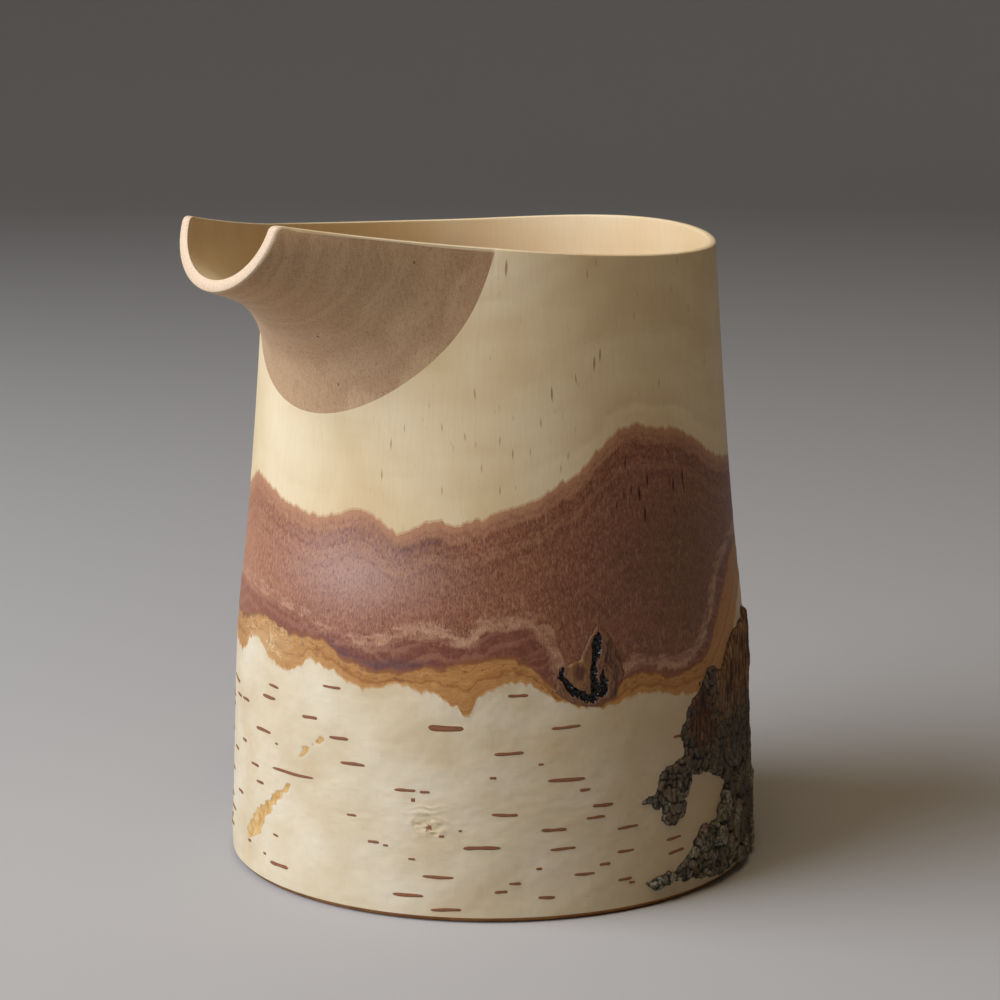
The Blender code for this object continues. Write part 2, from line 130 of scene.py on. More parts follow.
# Purple stains in the inner bark, and ochre streaks where the white bark has peeled:
# turn, height and half-width in millimetres.
DIP_BRUISE = [
    (19, 102, 0.1), (22, 99.3, 0.5), (25, 96.9, 0.9), (28, 96.7, 0.8), (32, 98.4, 0.4), (38, 100, 0.1),
]
CORK_BRUISE = [
    (9, 70.6, 0.1), (13, 68.4, 0.5), (17, 67, 0.2), (21, 66, 0.7), (25, 66.5, 1.2), (29, 67.2, 0.7),
    (35, 67.6, 0.1),
]
PEELS = [
    [
        (-1.9, 29.7, 0.1), (-4, 27.9, 0.35), (-7.2, 24.4, 1.1), (-10, 20.6, 1.3), (-14.3, 16.2, 2.3),
        (-19.2, 10.8, 1.5),
    ],
    [(8.2, 45, 0.1), (5.6, 42.4, 0.25), (3.4, 40.4, 0.45), (2, 38.7, 0.2)],
]
SCAR = (33.2, 25.6)  # turn and height

# Resin-filled cracks of the knot, as the streaks are given, and the middle of its isle.
CRACKS = [
    [(70.2, 75, 0.4), (69.6, 72, 1.1), (69, 67.5, 0.7), (68.5, 63.5, 0.7), (69.2, 60, 1.2), (68.4, 58, 1)],
    [(68.4, 57.8, 0.9), (65.1, 59.7, 0.9), (62.8, 61.8, 0.8), (61.5, 64.4, 0.8), (61.4, 67, 0.3)],
    [(70.8, 65.5, 0.2), (71.2, 62, 0.9), (70.5, 59.6, 1.0)],
]
KNOT_ISLE = (65.3, 65.2)

# Lenticels that show from the front: turn, height, length and, where it is a fat one, its thickness factor.
LENTICELS = [
    (-7.8, 55.2, 5), (10.6, 59, 6), (-9.8, 51.7, 7), (-22.5, 47.5, 5.8), (4.7, 49.8, 5.5), (-12.3, 42, 9),
    (-6.3, 39.9, 1.3), (12.6, 45.8, 6.2), (16.2, 39.6, 7.7), (-1.1, 33.2, 17.5), (-16.2, 31.3, 4.9),
    (-13.5, 27.2, 4.3), (28.4, 34.4, 6), (32.7, 34.3, 2.7), (50.3, 44.9, 7.7), (47, 38.6, 1.8),
    (16.1, 25.9, 3.1), (49.4, 28.8, 6.9), (21.4, 19.7, 3.4), (24.2, 19.2, 1.5), (44.7, 20.1, 9.8),
    (30, 16.3, 1.9), (35.6, 12, 8.4), (-5.1, 6.9, 8.5), (-11, 8.2, 1.4), (29.2, 6.6, 8.5), (37.3, 3.4, 8.1),
    (-6.5, 14.7, 2.5), (52.2, 60, 5.4), (62.4, 51.2, 8), (62.5, 37.3, 10.3), (66.5, 34.2, 3),
    (70.6, 29.6, 6.1), (68.9, 26.6, 5.4), (76.5, 22.7, 6.5), (59.7, 24.3, 6.9), (61.6, 19.1, 7),
    (75.9, 16.4, 5.2), (70.9, 13.8, 3.2), (66.3, 11.8, 5.8), (75.6, 8.9, 4.3), (77.3, 7.7, 1.9),
    (51.5, 10.5, 3.1), (48.6, 8.4, 3.4), (58.1, 6.4, 4.5), (88.8, 16.9, 5.6), (89.4, 13.2, 6.1),
    (-23, 36, 3.6), (-19, 9.1, 2.4), (37.2, 51.4, 9.4, 1.9), (57, 41.8, 1.4), (56.5, 14.2, 1.6),
    (90, 44.2, 2.6), (30.2, 32, 1.1, 1.6), (36.3, 22.9, 1.4), (40.2, 24.5, 0.9),
]

# Flecks in the wood and in the inner bark: turn, height and strength.
FLECKS = [
    (50.2, 168.4, 1.0), (70, 166.4, 0.45), (72.4, 169.2, 0.35), (98.7, 167.8, 0.5), (82.8, 154.9, 0.4),
    (102.7, 154.8, 0.4), (72.9, 145.7, 0.8), (71.3, 143.6, 0.9), (66.6, 140, 0.5), (60.7, 136.5, 0.9),
    (58, 129.3, 0.4), (35.4, 128.1, 0.35), (40.7, 125.9, 0.35), (48.6, 125, 0.4), (64.3, 120.6, 0.4),
    (48.6, 112.3, 0.4), (35.6, 112.1, 0.35), (23.3, 123.3, 0.55), (21.2, 115.2, 0.45), (62.5, 117.5, 0.35),
    (26.5, 127.5, 0.3), (44.5, 118, 0.3), (55.5, 122, 0.3), (110, 140, 0.5), (90, 137, 0.45),
]
BARK_FLECKS = [
    (84.8, 112.5, 0.6), (82.3, 109.2, 0.8), (83.7, 103.8, 0.8), (93.1, 110, 0.7), (96.6, 111.8, 0.7),
    (78.7, 117.6, 0.4), (80, 110.5, 0.3), (76, 107, 0.25), (78, 109.4, 0.25), (96.9, 109, 0.35),
    (91.8, 111.4, 0.25), (93, 103.6, 0.2),
]

# Grid sizes: the boundaries want a column about every half millimetre.
SCOOP_COLUMNS, BARREL_COLUMNS = 250, 650


# ---------------------------------------------------------------- shapes


def through(points, x, period=None):
    """Cubic curve through the points, with each slope taken from the neighbours on both sides."""
    xs, ys = np.array(points, float).T
    if period:
        xs = np.concatenate([xs[-2:] - period, xs, xs[:2] + period])
        ys = np.concatenate([ys[-2:], ys, ys[:2]])
        x = xs[2] + (x - xs[2]) % period
    slope = np.gradient(ys, xs)
    k = np.clip(np.searchsorted(xs, x, side="right") - 1, 0, len(xs) - 2)
    span = xs[k + 1] - xs[k]
    u = (x - xs[k]) / span
    here = (1 + 2 * u) * (1 - u) ** 2 * ys[k] + u * (1 - u) ** 2 * span * slope[k]
    there = u * u * (3 - 2 * u) * ys[k + 1] + u * u * (u - 1) * span * slope[k + 1]
    return here + there


def ease(low, high, x):
    """0 below low, 1 above high, and a smooth step between."""
    t = np.clip((x - low) / (high - low), 0, 1)
    return t * t * (3 - 2 * t)


def bell(x):
    return np.exp(-(x**2))


def lattice_noise(x, y, seed, wrap=256):
    """Smooth noise from -1 to 1: random values on a square lattice, eased between."""
    table = np.random.default_rng(seed).uniform(-1, 1, (wrap, wrap))
    i, j = np.floor(x).astype(int), np.floor(y).astype(int)
    u, v = ease(0, 1, x - i), ease(0, 1, y - j)
    i0, j0, i1, j1 = i % wrap, j % wrap, (i + 1) % wrap, (j + 1) % wrap
    low = table[i0, j0] * (1 - u) + table[i1, j0] * u
    high = table[i0, j1] * (1 - u) + table[i1, j1] * u
    return low * (1 - v) + high * v


def rough_noise(x, y, seed, octaves=4):
    """Sum of lattice noises, each half the size and half the strength of the last."""
    return sum(lattice_noise(x * 2**k, y * 2**k, seed + k) / 2**k for k in range(octaves))


def cells(x, y, seed):
    """Distances to the two nearest of points strewn one to a square, and the nearest's own value."""
    rng = np.random.default_rng(seed)
    px, py, value = rng.uniform(0.1, 0.9, (3, 64, 64))
    i, j = np.floor(x).astype(int), np.floor(y).astype(int)
    nearest = np.full(x.shape, 9.0)
    second, own = nearest.copy(), np.zeros(x.shape)
    for di in (-1, 0, 1):
        for dj in (-1, 0, 1):
            a, b = (i + di) % 64, (j + dj) % 64
            gap = np.hypot(i + di + px[a, b] - x, j + dj + py[a, b] - y)
            closer = gap < nearest
            second = np.where(closer, nearest, np.minimum(second, gap))
            own = np.where(closer, value[a, b], own)
            nearest = np.where(closer, gap, nearest)
    return nearest, second, own


def arc_at(turn, radius=BARK_RADIUS):
    """Distance round the log from the line under the spout, in millimetres."""
    return np.radians((turn + 180) % 360 - 180) * radius


def wander(turn, wavelength, seed):
    """Waviness round the jug that closes on itself: sines near this wavelength in millimetres."""
    rng = np.random.default_rng(seed)
    middle = 2 * math.pi * 68 / wavelength
    counts = rng.integers(int(middle * 0.6), int(middle * 1.6), 9)
    phases = rng.uniform(0, 2 * math.pi, 9)
    return sum(np.sin(np.radians(turn) * n + p) for n, p in zip(counts, phases)) / 4


def log_radius(height):
    return through(LOG_PROFILE, height)


def hollow_radius(height):
    return through(HOLLOW_PROFILE, height)


def wood_edge(turn):
    """Top of the inner bark, with the fine teeth of a cut across fibres."""
    return through(WOOD_EDGE, turn, 360) + 0.35 * wander(turn, 5, 1) + 0.22 * wander(turn, 2, 2)


def cork_edge(turn):
    return through(CORK_EDGE, turn, 360) + 0.4 * wander(turn, 7, 3) + 0.2 * wander(turn, 3, 4)


def white_edge(turn):
    return through(WHITE_EDGE, turn, 360) + 0.45 * wander(turn, 6, 5) + 0.3 * wander(turn, 2.5, 6)


def at(radius, turn, height):
    """Places on the log, stacked as (forward, sideways, height)."""
    angle = np.radians(turn)
    return np.stack(np.broadcast_arrays(radius * np.cos(angle), radius * np.sin(angle), height), axis=-1)


def rim_height(forward):
    """Height of the rim: two parabolas that meet at its lowest place."""
    reach = forward - RIM_LOW_FORWARD
    front = (LIP_TOP - RIM_LOW_HEIGHT) * (reach / LIP_REACH) ** 2
    return RIM_LOW_HEIGHT + np.where(reach < 0, BACK_RISE * (reach / 30) ** 2, front)


def body_top(turn):
    """Height at which the round body ends: at the crease under the spout, and at the rim elsewhere."""
    turn = (turn + 180) % 360 - 180
    share = np.minimum(abs(turn) / SCOOP_HALF_TURN, 1)
    shoulder = rim_height(RIM_RADIUS * math.cos(math.radians(SCOOP_HALF_TURN)))
    steep = shoulder - CREASE_LOW - CREASE_BOWL
    crease = CREASE_LOW + CREASE_BOWL * share**2 + steep * share**CREASE_STEEPENING
    round_rim = rim_height(RIM_RADIUS * np.cos(np.radians(turn)))
    return np.where(abs(turn) < SCOOP_HALF_TURN, crease, round_rim)


def lip_points(share, wall):
    """Half an ellipse in the lip's leaning plane: share -1 and 1 are its corners, 0 its bottom."""
    angle = np.radians(90 * share)
    height = LIP_TOP - (LIP_DEPTH - wall) * np.cos(angle)
    forward = LIP_FORWARD - LIP_LEAN * (height - LIP_PLANE_HEIGHT)
    return np.stack([forward, (LIP_HALF_WIDTH - wall) * np.sin(angle), height], axis=-1)


def scoop_sheet(share, along, inside):
    """One side of the spout's wall as a grid: Hermite cubics from the crease out to the lip.

    Each leaves the crease square to it, tipped outward by the break angle, and reaches the
    lip along the spout, which tapers in plan. Returns the places and the reaching directions.
    """
    turn, side = SCOOP_HALF_TURN * share, np.sin(np.radians(90 * share))
    wall, profile = (LIP_WALL, hollow_radius) if inside else (0, log_radius)
    height = body_top(turn)
    start, end = at(profile(height), turn, height), lip_points(share, wall)
    length = np.linalg.norm(end - start, axis=-1, keepdims=True)

    step = 0.01
    lower = body_top(np.maximum(turn - step, -SCOOP_HALF_TURN))
    upper = body_top(np.minimum(turn + step, SCOOP_HALF_TURN))
    slope = np.arctan2(upper - lower, RIM_RADIUS * 2 * math.radians(step))
    slope = np.where(abs(share) < 1, slope, np.sign(share) * math.radians(90 - SHOULDER_RISE))
    slope = slope[:, None]
    outward, around, up = at(1, turn, 0 * turn), at(1, turn + 90, 0 * turn), np.array([0, 0, 1])
    tip = np.radians(CREASE_BREAK + (SHOULDER_BREAK - CREASE_BREAK) * share**2)[:, None]
    leaving = np.cos(tip) * (np.cos(slope) * up - np.sin(slope) * around) + np.sin(tip) * outward

    plan = -math.radians(TAPER_IN_PLAN) * side
    rim_slope = 2 * (LIP_TOP - RIM_LOW_HEIGHT) / LIP_REACH * np.cos(plan)
    rise = math.tan(math.radians(LIP_RISE)) * (1 - side**2) + rim_slope * side**2
    reaching = np.stack([np.cos(plan), np.sin(plan), rise], axis=-1)
    reaching /= np.linalg.norm(reaching, axis=-1, keepdims=True)

    square = side[:, None] ** 2
    pull_out = leaving * length * (LEAVING_PULL + (1 - LEAVING_PULL) * square)
    pull_in = reaching * length * (REACHING_PULL + (1 - REACHING_PULL) * square)
    corner = LIP_CORNER_ROUND * (1 - np.sqrt(1 - ease_to_corner(share) ** 2))
    u = (along[None, :] * (1 - corner[:, None] / length))[..., None]
    places = (
        (1 + 2 * u) * (1 - u) ** 2 * start[:, None]
        + u * (1 - u) ** 2 * pull_out[:, None]
        + u * u * (3 - 2 * u) * end[:, None]
        + u * u * (u - 1) * pull_in[:, None]
    )
    return places, reaching


def ease_to_corner(share):
    """0 away from the lip's corners, rising to 1 at them over the corner's radius."""
    arc = math.pi / 4 * (LIP_HALF_WIDTH + LIP_DEPTH)
    return np.clip(1 - (1 - abs(share)) * arc / LIP_CORNER_ROUND, 0, 1)


def drawn_back(sheet, share, along, reaching):
    """The sheet slid back along itself near the rim and the lip, to leave room for their rounding."""
    length = np.linalg.norm(sheet[:, -1] - sheet[:, 0], axis=-1)[:, None]
    to_lip = ease(4, 0, (1 - along)[None, :] * length)[..., None]
    to_rim = (abs(share) ** 24)[:, None, None]
    up = np.array([0, 0, 1])
    back, down = to_lip * reaching[:, None] * (1 - 0.3 * to_rim), to_rim * up * (1 - 0.3 * to_lip)
    return sheet - EDGE_ROUND * (back + down)


# ---------------------------------------------------------------- meshes


def to_row_frame(places):
    """Log places in millimetres as points of the row frame in metres."""
    flat = places.reshape(-1, 3)
    return np.column_stack([AXIS[0] - flat[:, 0], AXIS[1] - flat[:, 1], flat[:, 2]]) * MM


def quads(rows, columns, first=0, close_rows=False, close_columns=False):
    """Corner numbers of the quads of a grid of points, row by row."""
    numbers = first + np.arange(rows * columns).reshape(rows, columns)
    if close_rows:
        numbers = np.vstack([numbers, numbers[:1]])
    if close_columns:
        numbers = np.hstack([numbers, numbers[:, :1]])
    corners = (numbers[:-1, :-1], numbers[:-1, 1:], numbers[1:, 1:], numbers[1:, :-1])
    return np.stack([c.ravel() for c in corners], axis=1)


class Sheets:
    """Grids of places gathered into one mesh, with values at their points."""

    def __init__(self):
        self.points, self.faces, self.slots, self.values, self.count = [], [], [], {}, 0

    def add(self, grid, slot=0, close_rows=False, close_columns=False, **values):
        rows, columns = grid.shape[:2]
        self.points.append(grid.reshape(-1, 3))
        faces = quads(rows, columns, self.count, close_rows, close_columns)
        self.faces.append(faces)
        self.slots.append(np.full(len(faces), slot))
        for name, value in values.items():
            value = np.broadcast_to(value, (rows, columns)).ravel()
            self.values.setdefault(name, []).append((self.count, value))
        self.count += rows * columns

    def add_slab(self, front, back, **values):
        """Two grids of the same size joined along their borders into one closed body."""
        self.add(front, **values)
        self.add(back, **{name: 0.0 for name in values})
        for cut in (np.s_[0], np.s_[-1], np.s_[:, 0], np.s_[:, -1]):
            self.add(np.stack([front[cut], back[cut]]))

    def piece(self, name, materials, node=None, slot=None, crease=None):
        """The finished object: equal points welded, faces outward, riding on the root body."""
        points, faces, slots = map(np.concatenate, (self.points, self.faces, self.slots))
        _, first, index = np.unique(
            np.round(points * 2000).astype(np.int64), axis=0, return_index=True, return_inverse=True
        )
        points, faces = points[first], index.reshape(-1)[faces]
        kept = faces != np.roll(faces, -1, axis=1)
        whole = kept.sum(axis=1) >= 3
        faces, kept, slots = faces[whole], kept[whole], slots[whole]
        sizes = kept.sum(axis=1)

        mesh = bpy.data.meshes.new(name)
        mesh.vertices.add(len(points))
        mesh.vertices.foreach_set("co", to_row_frame(points).astype(np.float32).ravel())
        mesh.loops.add(int(sizes.sum()))
        mesh.loops.foreach_set("vertex_index", faces[kept].astype(np.int32))
        mesh.polygons.add(len(faces))
        mesh.polygons.foreach_set("loop_start", (np.cumsum(sizes) - sizes).astype(np.int32))
        mesh.polygons.foreach_set("material_index", slots.astype(np.int32))
        mesh.update(calc_edges=True)
        mesh.validate()
        turn_faces_out(mesh)
        for label, pieces in self.values.items():
            whole_value = np.zeros(self.count)
            for start, value in pieces:
                whole_value[start : start + len(value)] = value
            attribute = mesh.attributes.new(label, "FLOAT", "POINT")
            attribute.data.foreach_set("value", whole_value[first].astype(np.float32))
        mesh.shade_smooth()
        mesh.set_sharp_from_angle(angle=math.radians(40))
        if crease is not None:
            keep_sharp(mesh, points, crease)
        obj = bpy.data.objects.new(name, mesh)
        bpy.context.scene.collection.objects.link(obj)
        for material in materials:
            mesh.materials.append(material)
        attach(obj, "root")
        if node:
            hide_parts(node)
        return obj


def turn_faces_out(mesh):
    """Every closed body of the mesh with its faces pointing out."""
    work = bmesh.new()
    work.from_mesh(mesh)
    bmesh.ops.recalc_face_normals(work, faces=work.faces)
    work.to_mesh(mesh)
    work.free()


def keep_sharp(mesh, points, line):
    """Marks the edges whose two ends both lie on the line of points as sharp."""
    keys = {tuple(key) for key in np.round(line.reshape(-1, 3) * 1000).astype(int)}
    on_line = np.array([tuple(key) in keys for key in np.round(points * 1000).astype(int)])
    ends = np.empty(len(mesh.edges) * 2, np.int32)
    mesh.edges.foreach_get("vertices", ends)
    sharp = np.zeros(len(mesh.edges), bool)
    attribute = mesh.attributes.get("sharp_edge") or mesh.attributes.new("sharp_edge", "BOOLEAN", "EDGE")
    attribute.data.foreach_get("value", sharp)
    sharp |= on_line[ends.reshape(-1, 2)].all(axis=1)
    attribute.data.foreach_set("value", sharp)


def column_turns():
    """Turns of the columns: those of the scoop first, then those of the rest of the body."""
    scoop = np.linspace(-SCOOP_HALF_TURN, SCOOP_HALF_TURN, SCOOP_COLUMNS + 1)
    barrel = np.linspace(SCOOP_HALF_TURN, 360 - SCOOP_HALF_TURN, BARREL_COLUMNS + 1)
    return np.concatenate([scoop, barrel[1:-1]])


def rounded_edge(outer, inner, upward, steps=7):
    """Strip over the edge between two lines of points: half a rounded rectangle at each point."""
    angle = np.linspace(0, math.pi, steps)[:, None, None]
    across = np.sign(np.cos(angle)) * abs(np.cos(angle)) ** 0.5
    rise = EDGE_ROUND * np.sin(angle) ** 0.5
    middle, half = (outer + inner) / 2, (outer - inner) / 2
    return middle + half * across + upward * rise


def jug_wall(wood):
    """Sapwood wall and spout, from the bark's edge over the rim to the groove and the foot."""
    turns = column_turns()
    top, edge = body_top(turns), wood_edge(turns)
    in_scoop = np.arange(len(turns)) <= SCOOP_COLUMNS
    rim_drop = np.where(in_scoop, 0, EDGE_ROUND)
    rim_drop[[0, SCOOP_COLUMNS]] = EDGE_ROUND
    share, along = turns[: SCOOP_COLUMNS + 1] / SCOOP_HALF_TURN, np.linspace(0, 1, 64)

    sheets = Sheets()
    outer_raw, reaching = scoop_sheet(share, along, False)
    inner_raw, inner_reaching = scoop_sheet(share, along, True)
    outer = drawn_back(outer_raw, share, along, reaching)
    inner = drawn_back(inner_raw, share, along, inner_reaching)

    def body_sheet(profile, low, scoop, rows):
        """Rows from low up to the crease or the rim, which takes the scoop sheet's own first line."""
        heights = low + (top - rim_drop - low) * np.linspace(0, 1, rows)[:, None]
        sheet = at(profile(heights), turns, heights)
        lift = np.linspace(0, 1, rows)[:, None, None] ** 4
        sheet[:, : SCOOP_COLUMNS + 1] += lift * (scoop[:, 0] - sheet[-1, : SCOOP_COLUMNS + 1])
        sheet[-1, : SCOOP_COLUMNS + 1] = scoop[:, 0]
        return sheet

    outside = body_sheet(log_radius, edge, outer, 22)
    hollow_low = np.full(len(turns), BOARD_HIGH[2] + 1)
    hollow = body_sheet(hollow_radius, hollow_low, inner, 26)
    sheets.add(outside, 0, close_columns=True, bare=1.0, over_bark=outside[:, :, 2] - edge,
               figure=0.15 + 0.85 * patch(turns, outside[:, :, 2], (88, 142), (45, 26)))
    # Painted shade: bare is 0 on the hollow and low in the spout's inside, where the sapwood finish paints a
    # darker, warmer tan.
    sheets.add(hollow, 0, close_columns=True, bare=0.0, over_bark=FAR)
    sheets.add(outer, 1)
    sheets.add(inner, 0, bare=ease(0.1, 0.7, along), over_bark=FAR)

    up = np.array([0.0, 0, 1])
    barrel = np.r_[SCOOP_COLUMNS : len(turns), 0]
    sheets.add(rounded_edge(outside[-1, barrel], hollow[-1, barrel], up), 0, bare=1.0, over_bark=FAR)
    for side in (0, -1):
        tilt = ease(0.93, 1.0, along)[:, None]
        lean = up * (1 - tilt) + (up + reaching[side]) / math.sqrt(2) * tilt
        sheets.add(rounded_edge(outer[side], inner[side], lean), 0, bare=1.0, over_bark=FAR)
    corner = (abs(share) ** 24)[:, None]
    lean = reaching * (1 - corner) + (up + reaching) / math.sqrt(2) * corner
    # Painted highlight: shine makes the lip's rounding paler towards both of its sides.
    shine = abs(np.cos(np.linspace(0, math.pi, 7)))[:, None] ** 2
    sheets.add(rounded_edge(outer[:, -1], inner[:, -1], lean), 2, edge=shine)

    bore = float(hollow_radius(BOARD_LOW[2] + 4))
    middle = (BOARD_LOW[2] + BOARD_HIGH[2]) / 2
    under = log_radius(through(WOOD_EDGE, turns, 360)) - WOOD_STEP
    profile = [
        (hollow_radius(hollow_low), hollow_low), (bore, middle + 2.7), (bore + 1.5, middle + 0.75),
        (bore + 1.5, middle - 0.75), (bore, middle - 2.7), (bore, 0.8), (bore + 0.8, 0), (under, 0),
        (under, edge / 2), (under, edge - 0.05), (log_radius(edge), edge),
    ]
    foot = np.stack([at(np.broadcast_to(r, turns.shape), turns, z) for r, z in profile])
    sheets.add(foot, 3, close_columns=True)
    crease = outside[-1, 1:SCOOP_COLUMNS]
    materials = [wood, scoop_wood(), lip_wood(), board_wood("planed birch at the foot")]
    return sheets.piece("jug_wall_carved", materials, "jug_wall", "birch_sapwood", crease)


def bottom_board():
    """Turned board: a profile carried round the axis, with a bevelled tongue in the groove."""
    middle = (BOARD_LOW[2] + BOARD_HIGH[2]) / 2
    edge = float(hollow_radius(middle)) - 0.05
    low = BOARD_LOW[2]
    half = [(0, low), (20, low), (40, low), (edge - 0.6, low), (edge, low + 0.6)]
    half += [(edge, middle - 2.4), (edge + 1.4, middle - 0.6)]
    profile = half + [(r, 2 * middle - z) for r, z in reversed(half)]
    turns = np.linspace(0, 360, 240, endpoint=False)
    grid = np.stack([at(np.full(turns.shape, float(r)), turns, z) for r, z in profile])
    sheets = Sheets()
    sheets.add(grid, close_columns=True)
    wood = board_wood("planed birch board")
    return sheets.piece("bottom_board_fitted", [wood], "bottom_board", "birch_board")


def patch(turn, height, middle, reach):
    """Bell-shaped mask: 1 at the middle, a turn and a height, and faint past its reaches in millimetres."""
    across = arc_at(turn - middle[0], 70) / reach[0]
    return np.exp(-(across**2) - ((height - middle[1]) / reach[1]) ** 2)


def bark_swell(turn, height):
    """Gentle unevenness of the log's surface below the taper and above the foot, in millimetres."""
    arc = arc_at(turn, 70)
    fade = ease(75, 55, height) * ease(0.5, 9, height)
    back = ease(180, 165, abs((turn + 180) % 360 - 180))
    return fade * back * 0.30 * rough_noise(arc / 22 + 40, height / 26 + 9, 11, 3)


def line_gap(turn, height, line):
    """Distance in millimetres from a line of (turn, height, half-width), negative inside its width."""
    arc = arc_at(turn)
    gap = np.full(np.broadcast(arc, height).shape, 99.0)
    points = [(math.radians(t) * BARK_RADIUS, h, w) for t, h, w in line]
    for (ax, ay, aw), (bx, by, bw) in zip(points, points[1:]):
        dx, dy = bx - ax, by - ay
        t = np.clip(((arc - ax) * dx + (height - ay) * dy) / (dx * dx + dy * dy), 0, 1)
        gap = np.minimum(gap, np.hypot(arc - ax - t * dx, height - ay - t * dy) - aw - t * (bw - aw))
    return gap


def streak(turn, height, line):
    """1 well inside a line's width, fading to 0 a millimetre and a half outside it."""
    return ease(1.5, -0.8, line_gap(turn, height, line))


def knot_pocket(turns, heights):
    """Depth by which the bark layers step back behind the knot, in millimetres."""
    outline = np.array(KNOT_OUTLINE, float) * [math.radians(BARK_RADIUS), 1]
    gap = signed_gap(np.broadcast_to(arc_at(turns), heights.shape), heights, outline)
    return 1.0 * ease(0.1, 0.7, gap)


def inner_bark():
    """Red-brown band: bare between the cork's edge and the wood's, and running down behind the cork.

    Its points carry their distances from the cork, from the wood and from the pale vein.
    """
    turns = column_turns()
    top, low = wood_edge(turns), cork_edge(turns)
    vein = through(VEIN_LINE, turns, 360)
    back = log_radius(through(WOOD_EDGE, turns, 360)) - WOOD_STEP + 0.05
    share = np.linspace(0, 1, 76)[:, None]
    heights = low + (top - low) * share
    arc = np.radians(turns) * 68
    around = np.unwrap(np.radians(turns)) * 68
    tilt = np.cos(np.arctan(np.gradient(vein, around)))
    relief = 0.05 * rough_noise(arc / 5 + 90, heights / 5, 21, 2) - knot_pocket(turns, heights)
    bare = at(log_radius(heights) + relief, turns, heights)
    behind = low[None, :] * np.array([0.97, 0.5, 0.0])[:, None]
    lower = at(log_radius(behind) - CORK_DEPTH - 0.1, turns, behind)
    inner = np.stack([at(back, turns, h) for h in (0 * top, top / 2, top - 0.05)])
    strong = patch(turns, heights, (42, 76), (22, 30)) + patch(turns, heights, (97, 72), (26, 40))
    masks = {
        "over_cork": heights - low,
        "under_wood": top - heights,
        "over_vein": (heights - vein) * tilt,
        "vein_strength": np.clip(strong + patch(turns, heights, (210, 76), (80, 30)), 0, 1),
        "mauve": patch(turns, heights, (13, 90), (26, 10)) + patch(turns, heights, (215, 92), (30, 9)),
        # Painted shade: darker brown round the right side, away from the key light.
        "painted_right_shade": patch(turns, heights, (92, 86), (42, 34)) + patch(turns, heights, (160, 88), (40, 50)),
        # Painted light: lighter orange-red round the left side, where the key light falls.
        "orange": patch(turns, heights, (-34, 84), (34, 28)) + patch(turns, heights, (285, 84), (50, 16)),
        "bruise": np.maximum(0.5 * streak(turns, heights, DIP_BRUISE), streak(turns, heights, CORK_BRUISE)),
    }
    values = {name: padded(mask[::-1], 6) for name, mask in masks.items()}
    sheets = Sheets()
    sheets.add(np.concatenate([bare[::-1], lower, inner]), 0, True, True, **values)
    return sheets.piece("inner_bark_band", [inner_bark_finish()], "inner_bark", "inner_bark")


def cork_layer():
    """Orange band between the white bark's edge and the inner bark, down to the chamfer at the foot."""
    turns = column_turns()
    top, low = cork_edge(turns), white_edge(turns)
    share = np.linspace(0, 1, 24)[:, None]
    heights = low + (top - low) * share
    arc = np.radians(turns) * 70
    relief = 0.10 * rough_noise(arc / 3 + 50, heights / 2, 31, 3) * np.sin(math.pi * share)
    relief -= 0.8 * knot_pocket(turns, heights)
    bare = at(log_radius(heights) + bark_swell(turns, heights) + relief - 0.05 * (1 - share), turns, heights)
    behind = np.stack([low - 0.6, low * 0.6, low * 0.25, 0 * low + FOOT_CHAMFER])
    skin = at(log_radius(behind) - WHITE_DEPTH - 0.05, turns, behind)
    bevel = (FOOT_CHAMFER, 0.04), (0.15, 1.15)
    chamfer = np.stack([at(log_radius(z) - inset, turns, z) for z, inset in bevel])
    foot = at(log_radius(0) - np.array([1.5, CORK_DEPTH])[:, None] + 0 * turns, turns, 0)
    hidden = np.stack([0 * low, top * 0.5, top - 0.1])
    inner = at(log_radius(hidden) - CORK_DEPTH + 0.05, turns, hidden)
    threads = patch(turns, heights, (-12, 67), (14, 5)) + patch(turns, heights, (225, 70), (40, 6))
    sheets = Sheets()
    sheets.add(
        np.concatenate([bare[::-1], skin, chamfer, foot, inner]), 0, True, True,
        under_bark=padded((top - heights)[::-1], 11, 3.0),
        over_white=padded((heights - low)[::-1], 11, 3.0),
        threads=padded(threads[::-1], 11),
    )
    return sheets.piece("cork_band", [cork_finish()], "cork_layer", "cork_layer")


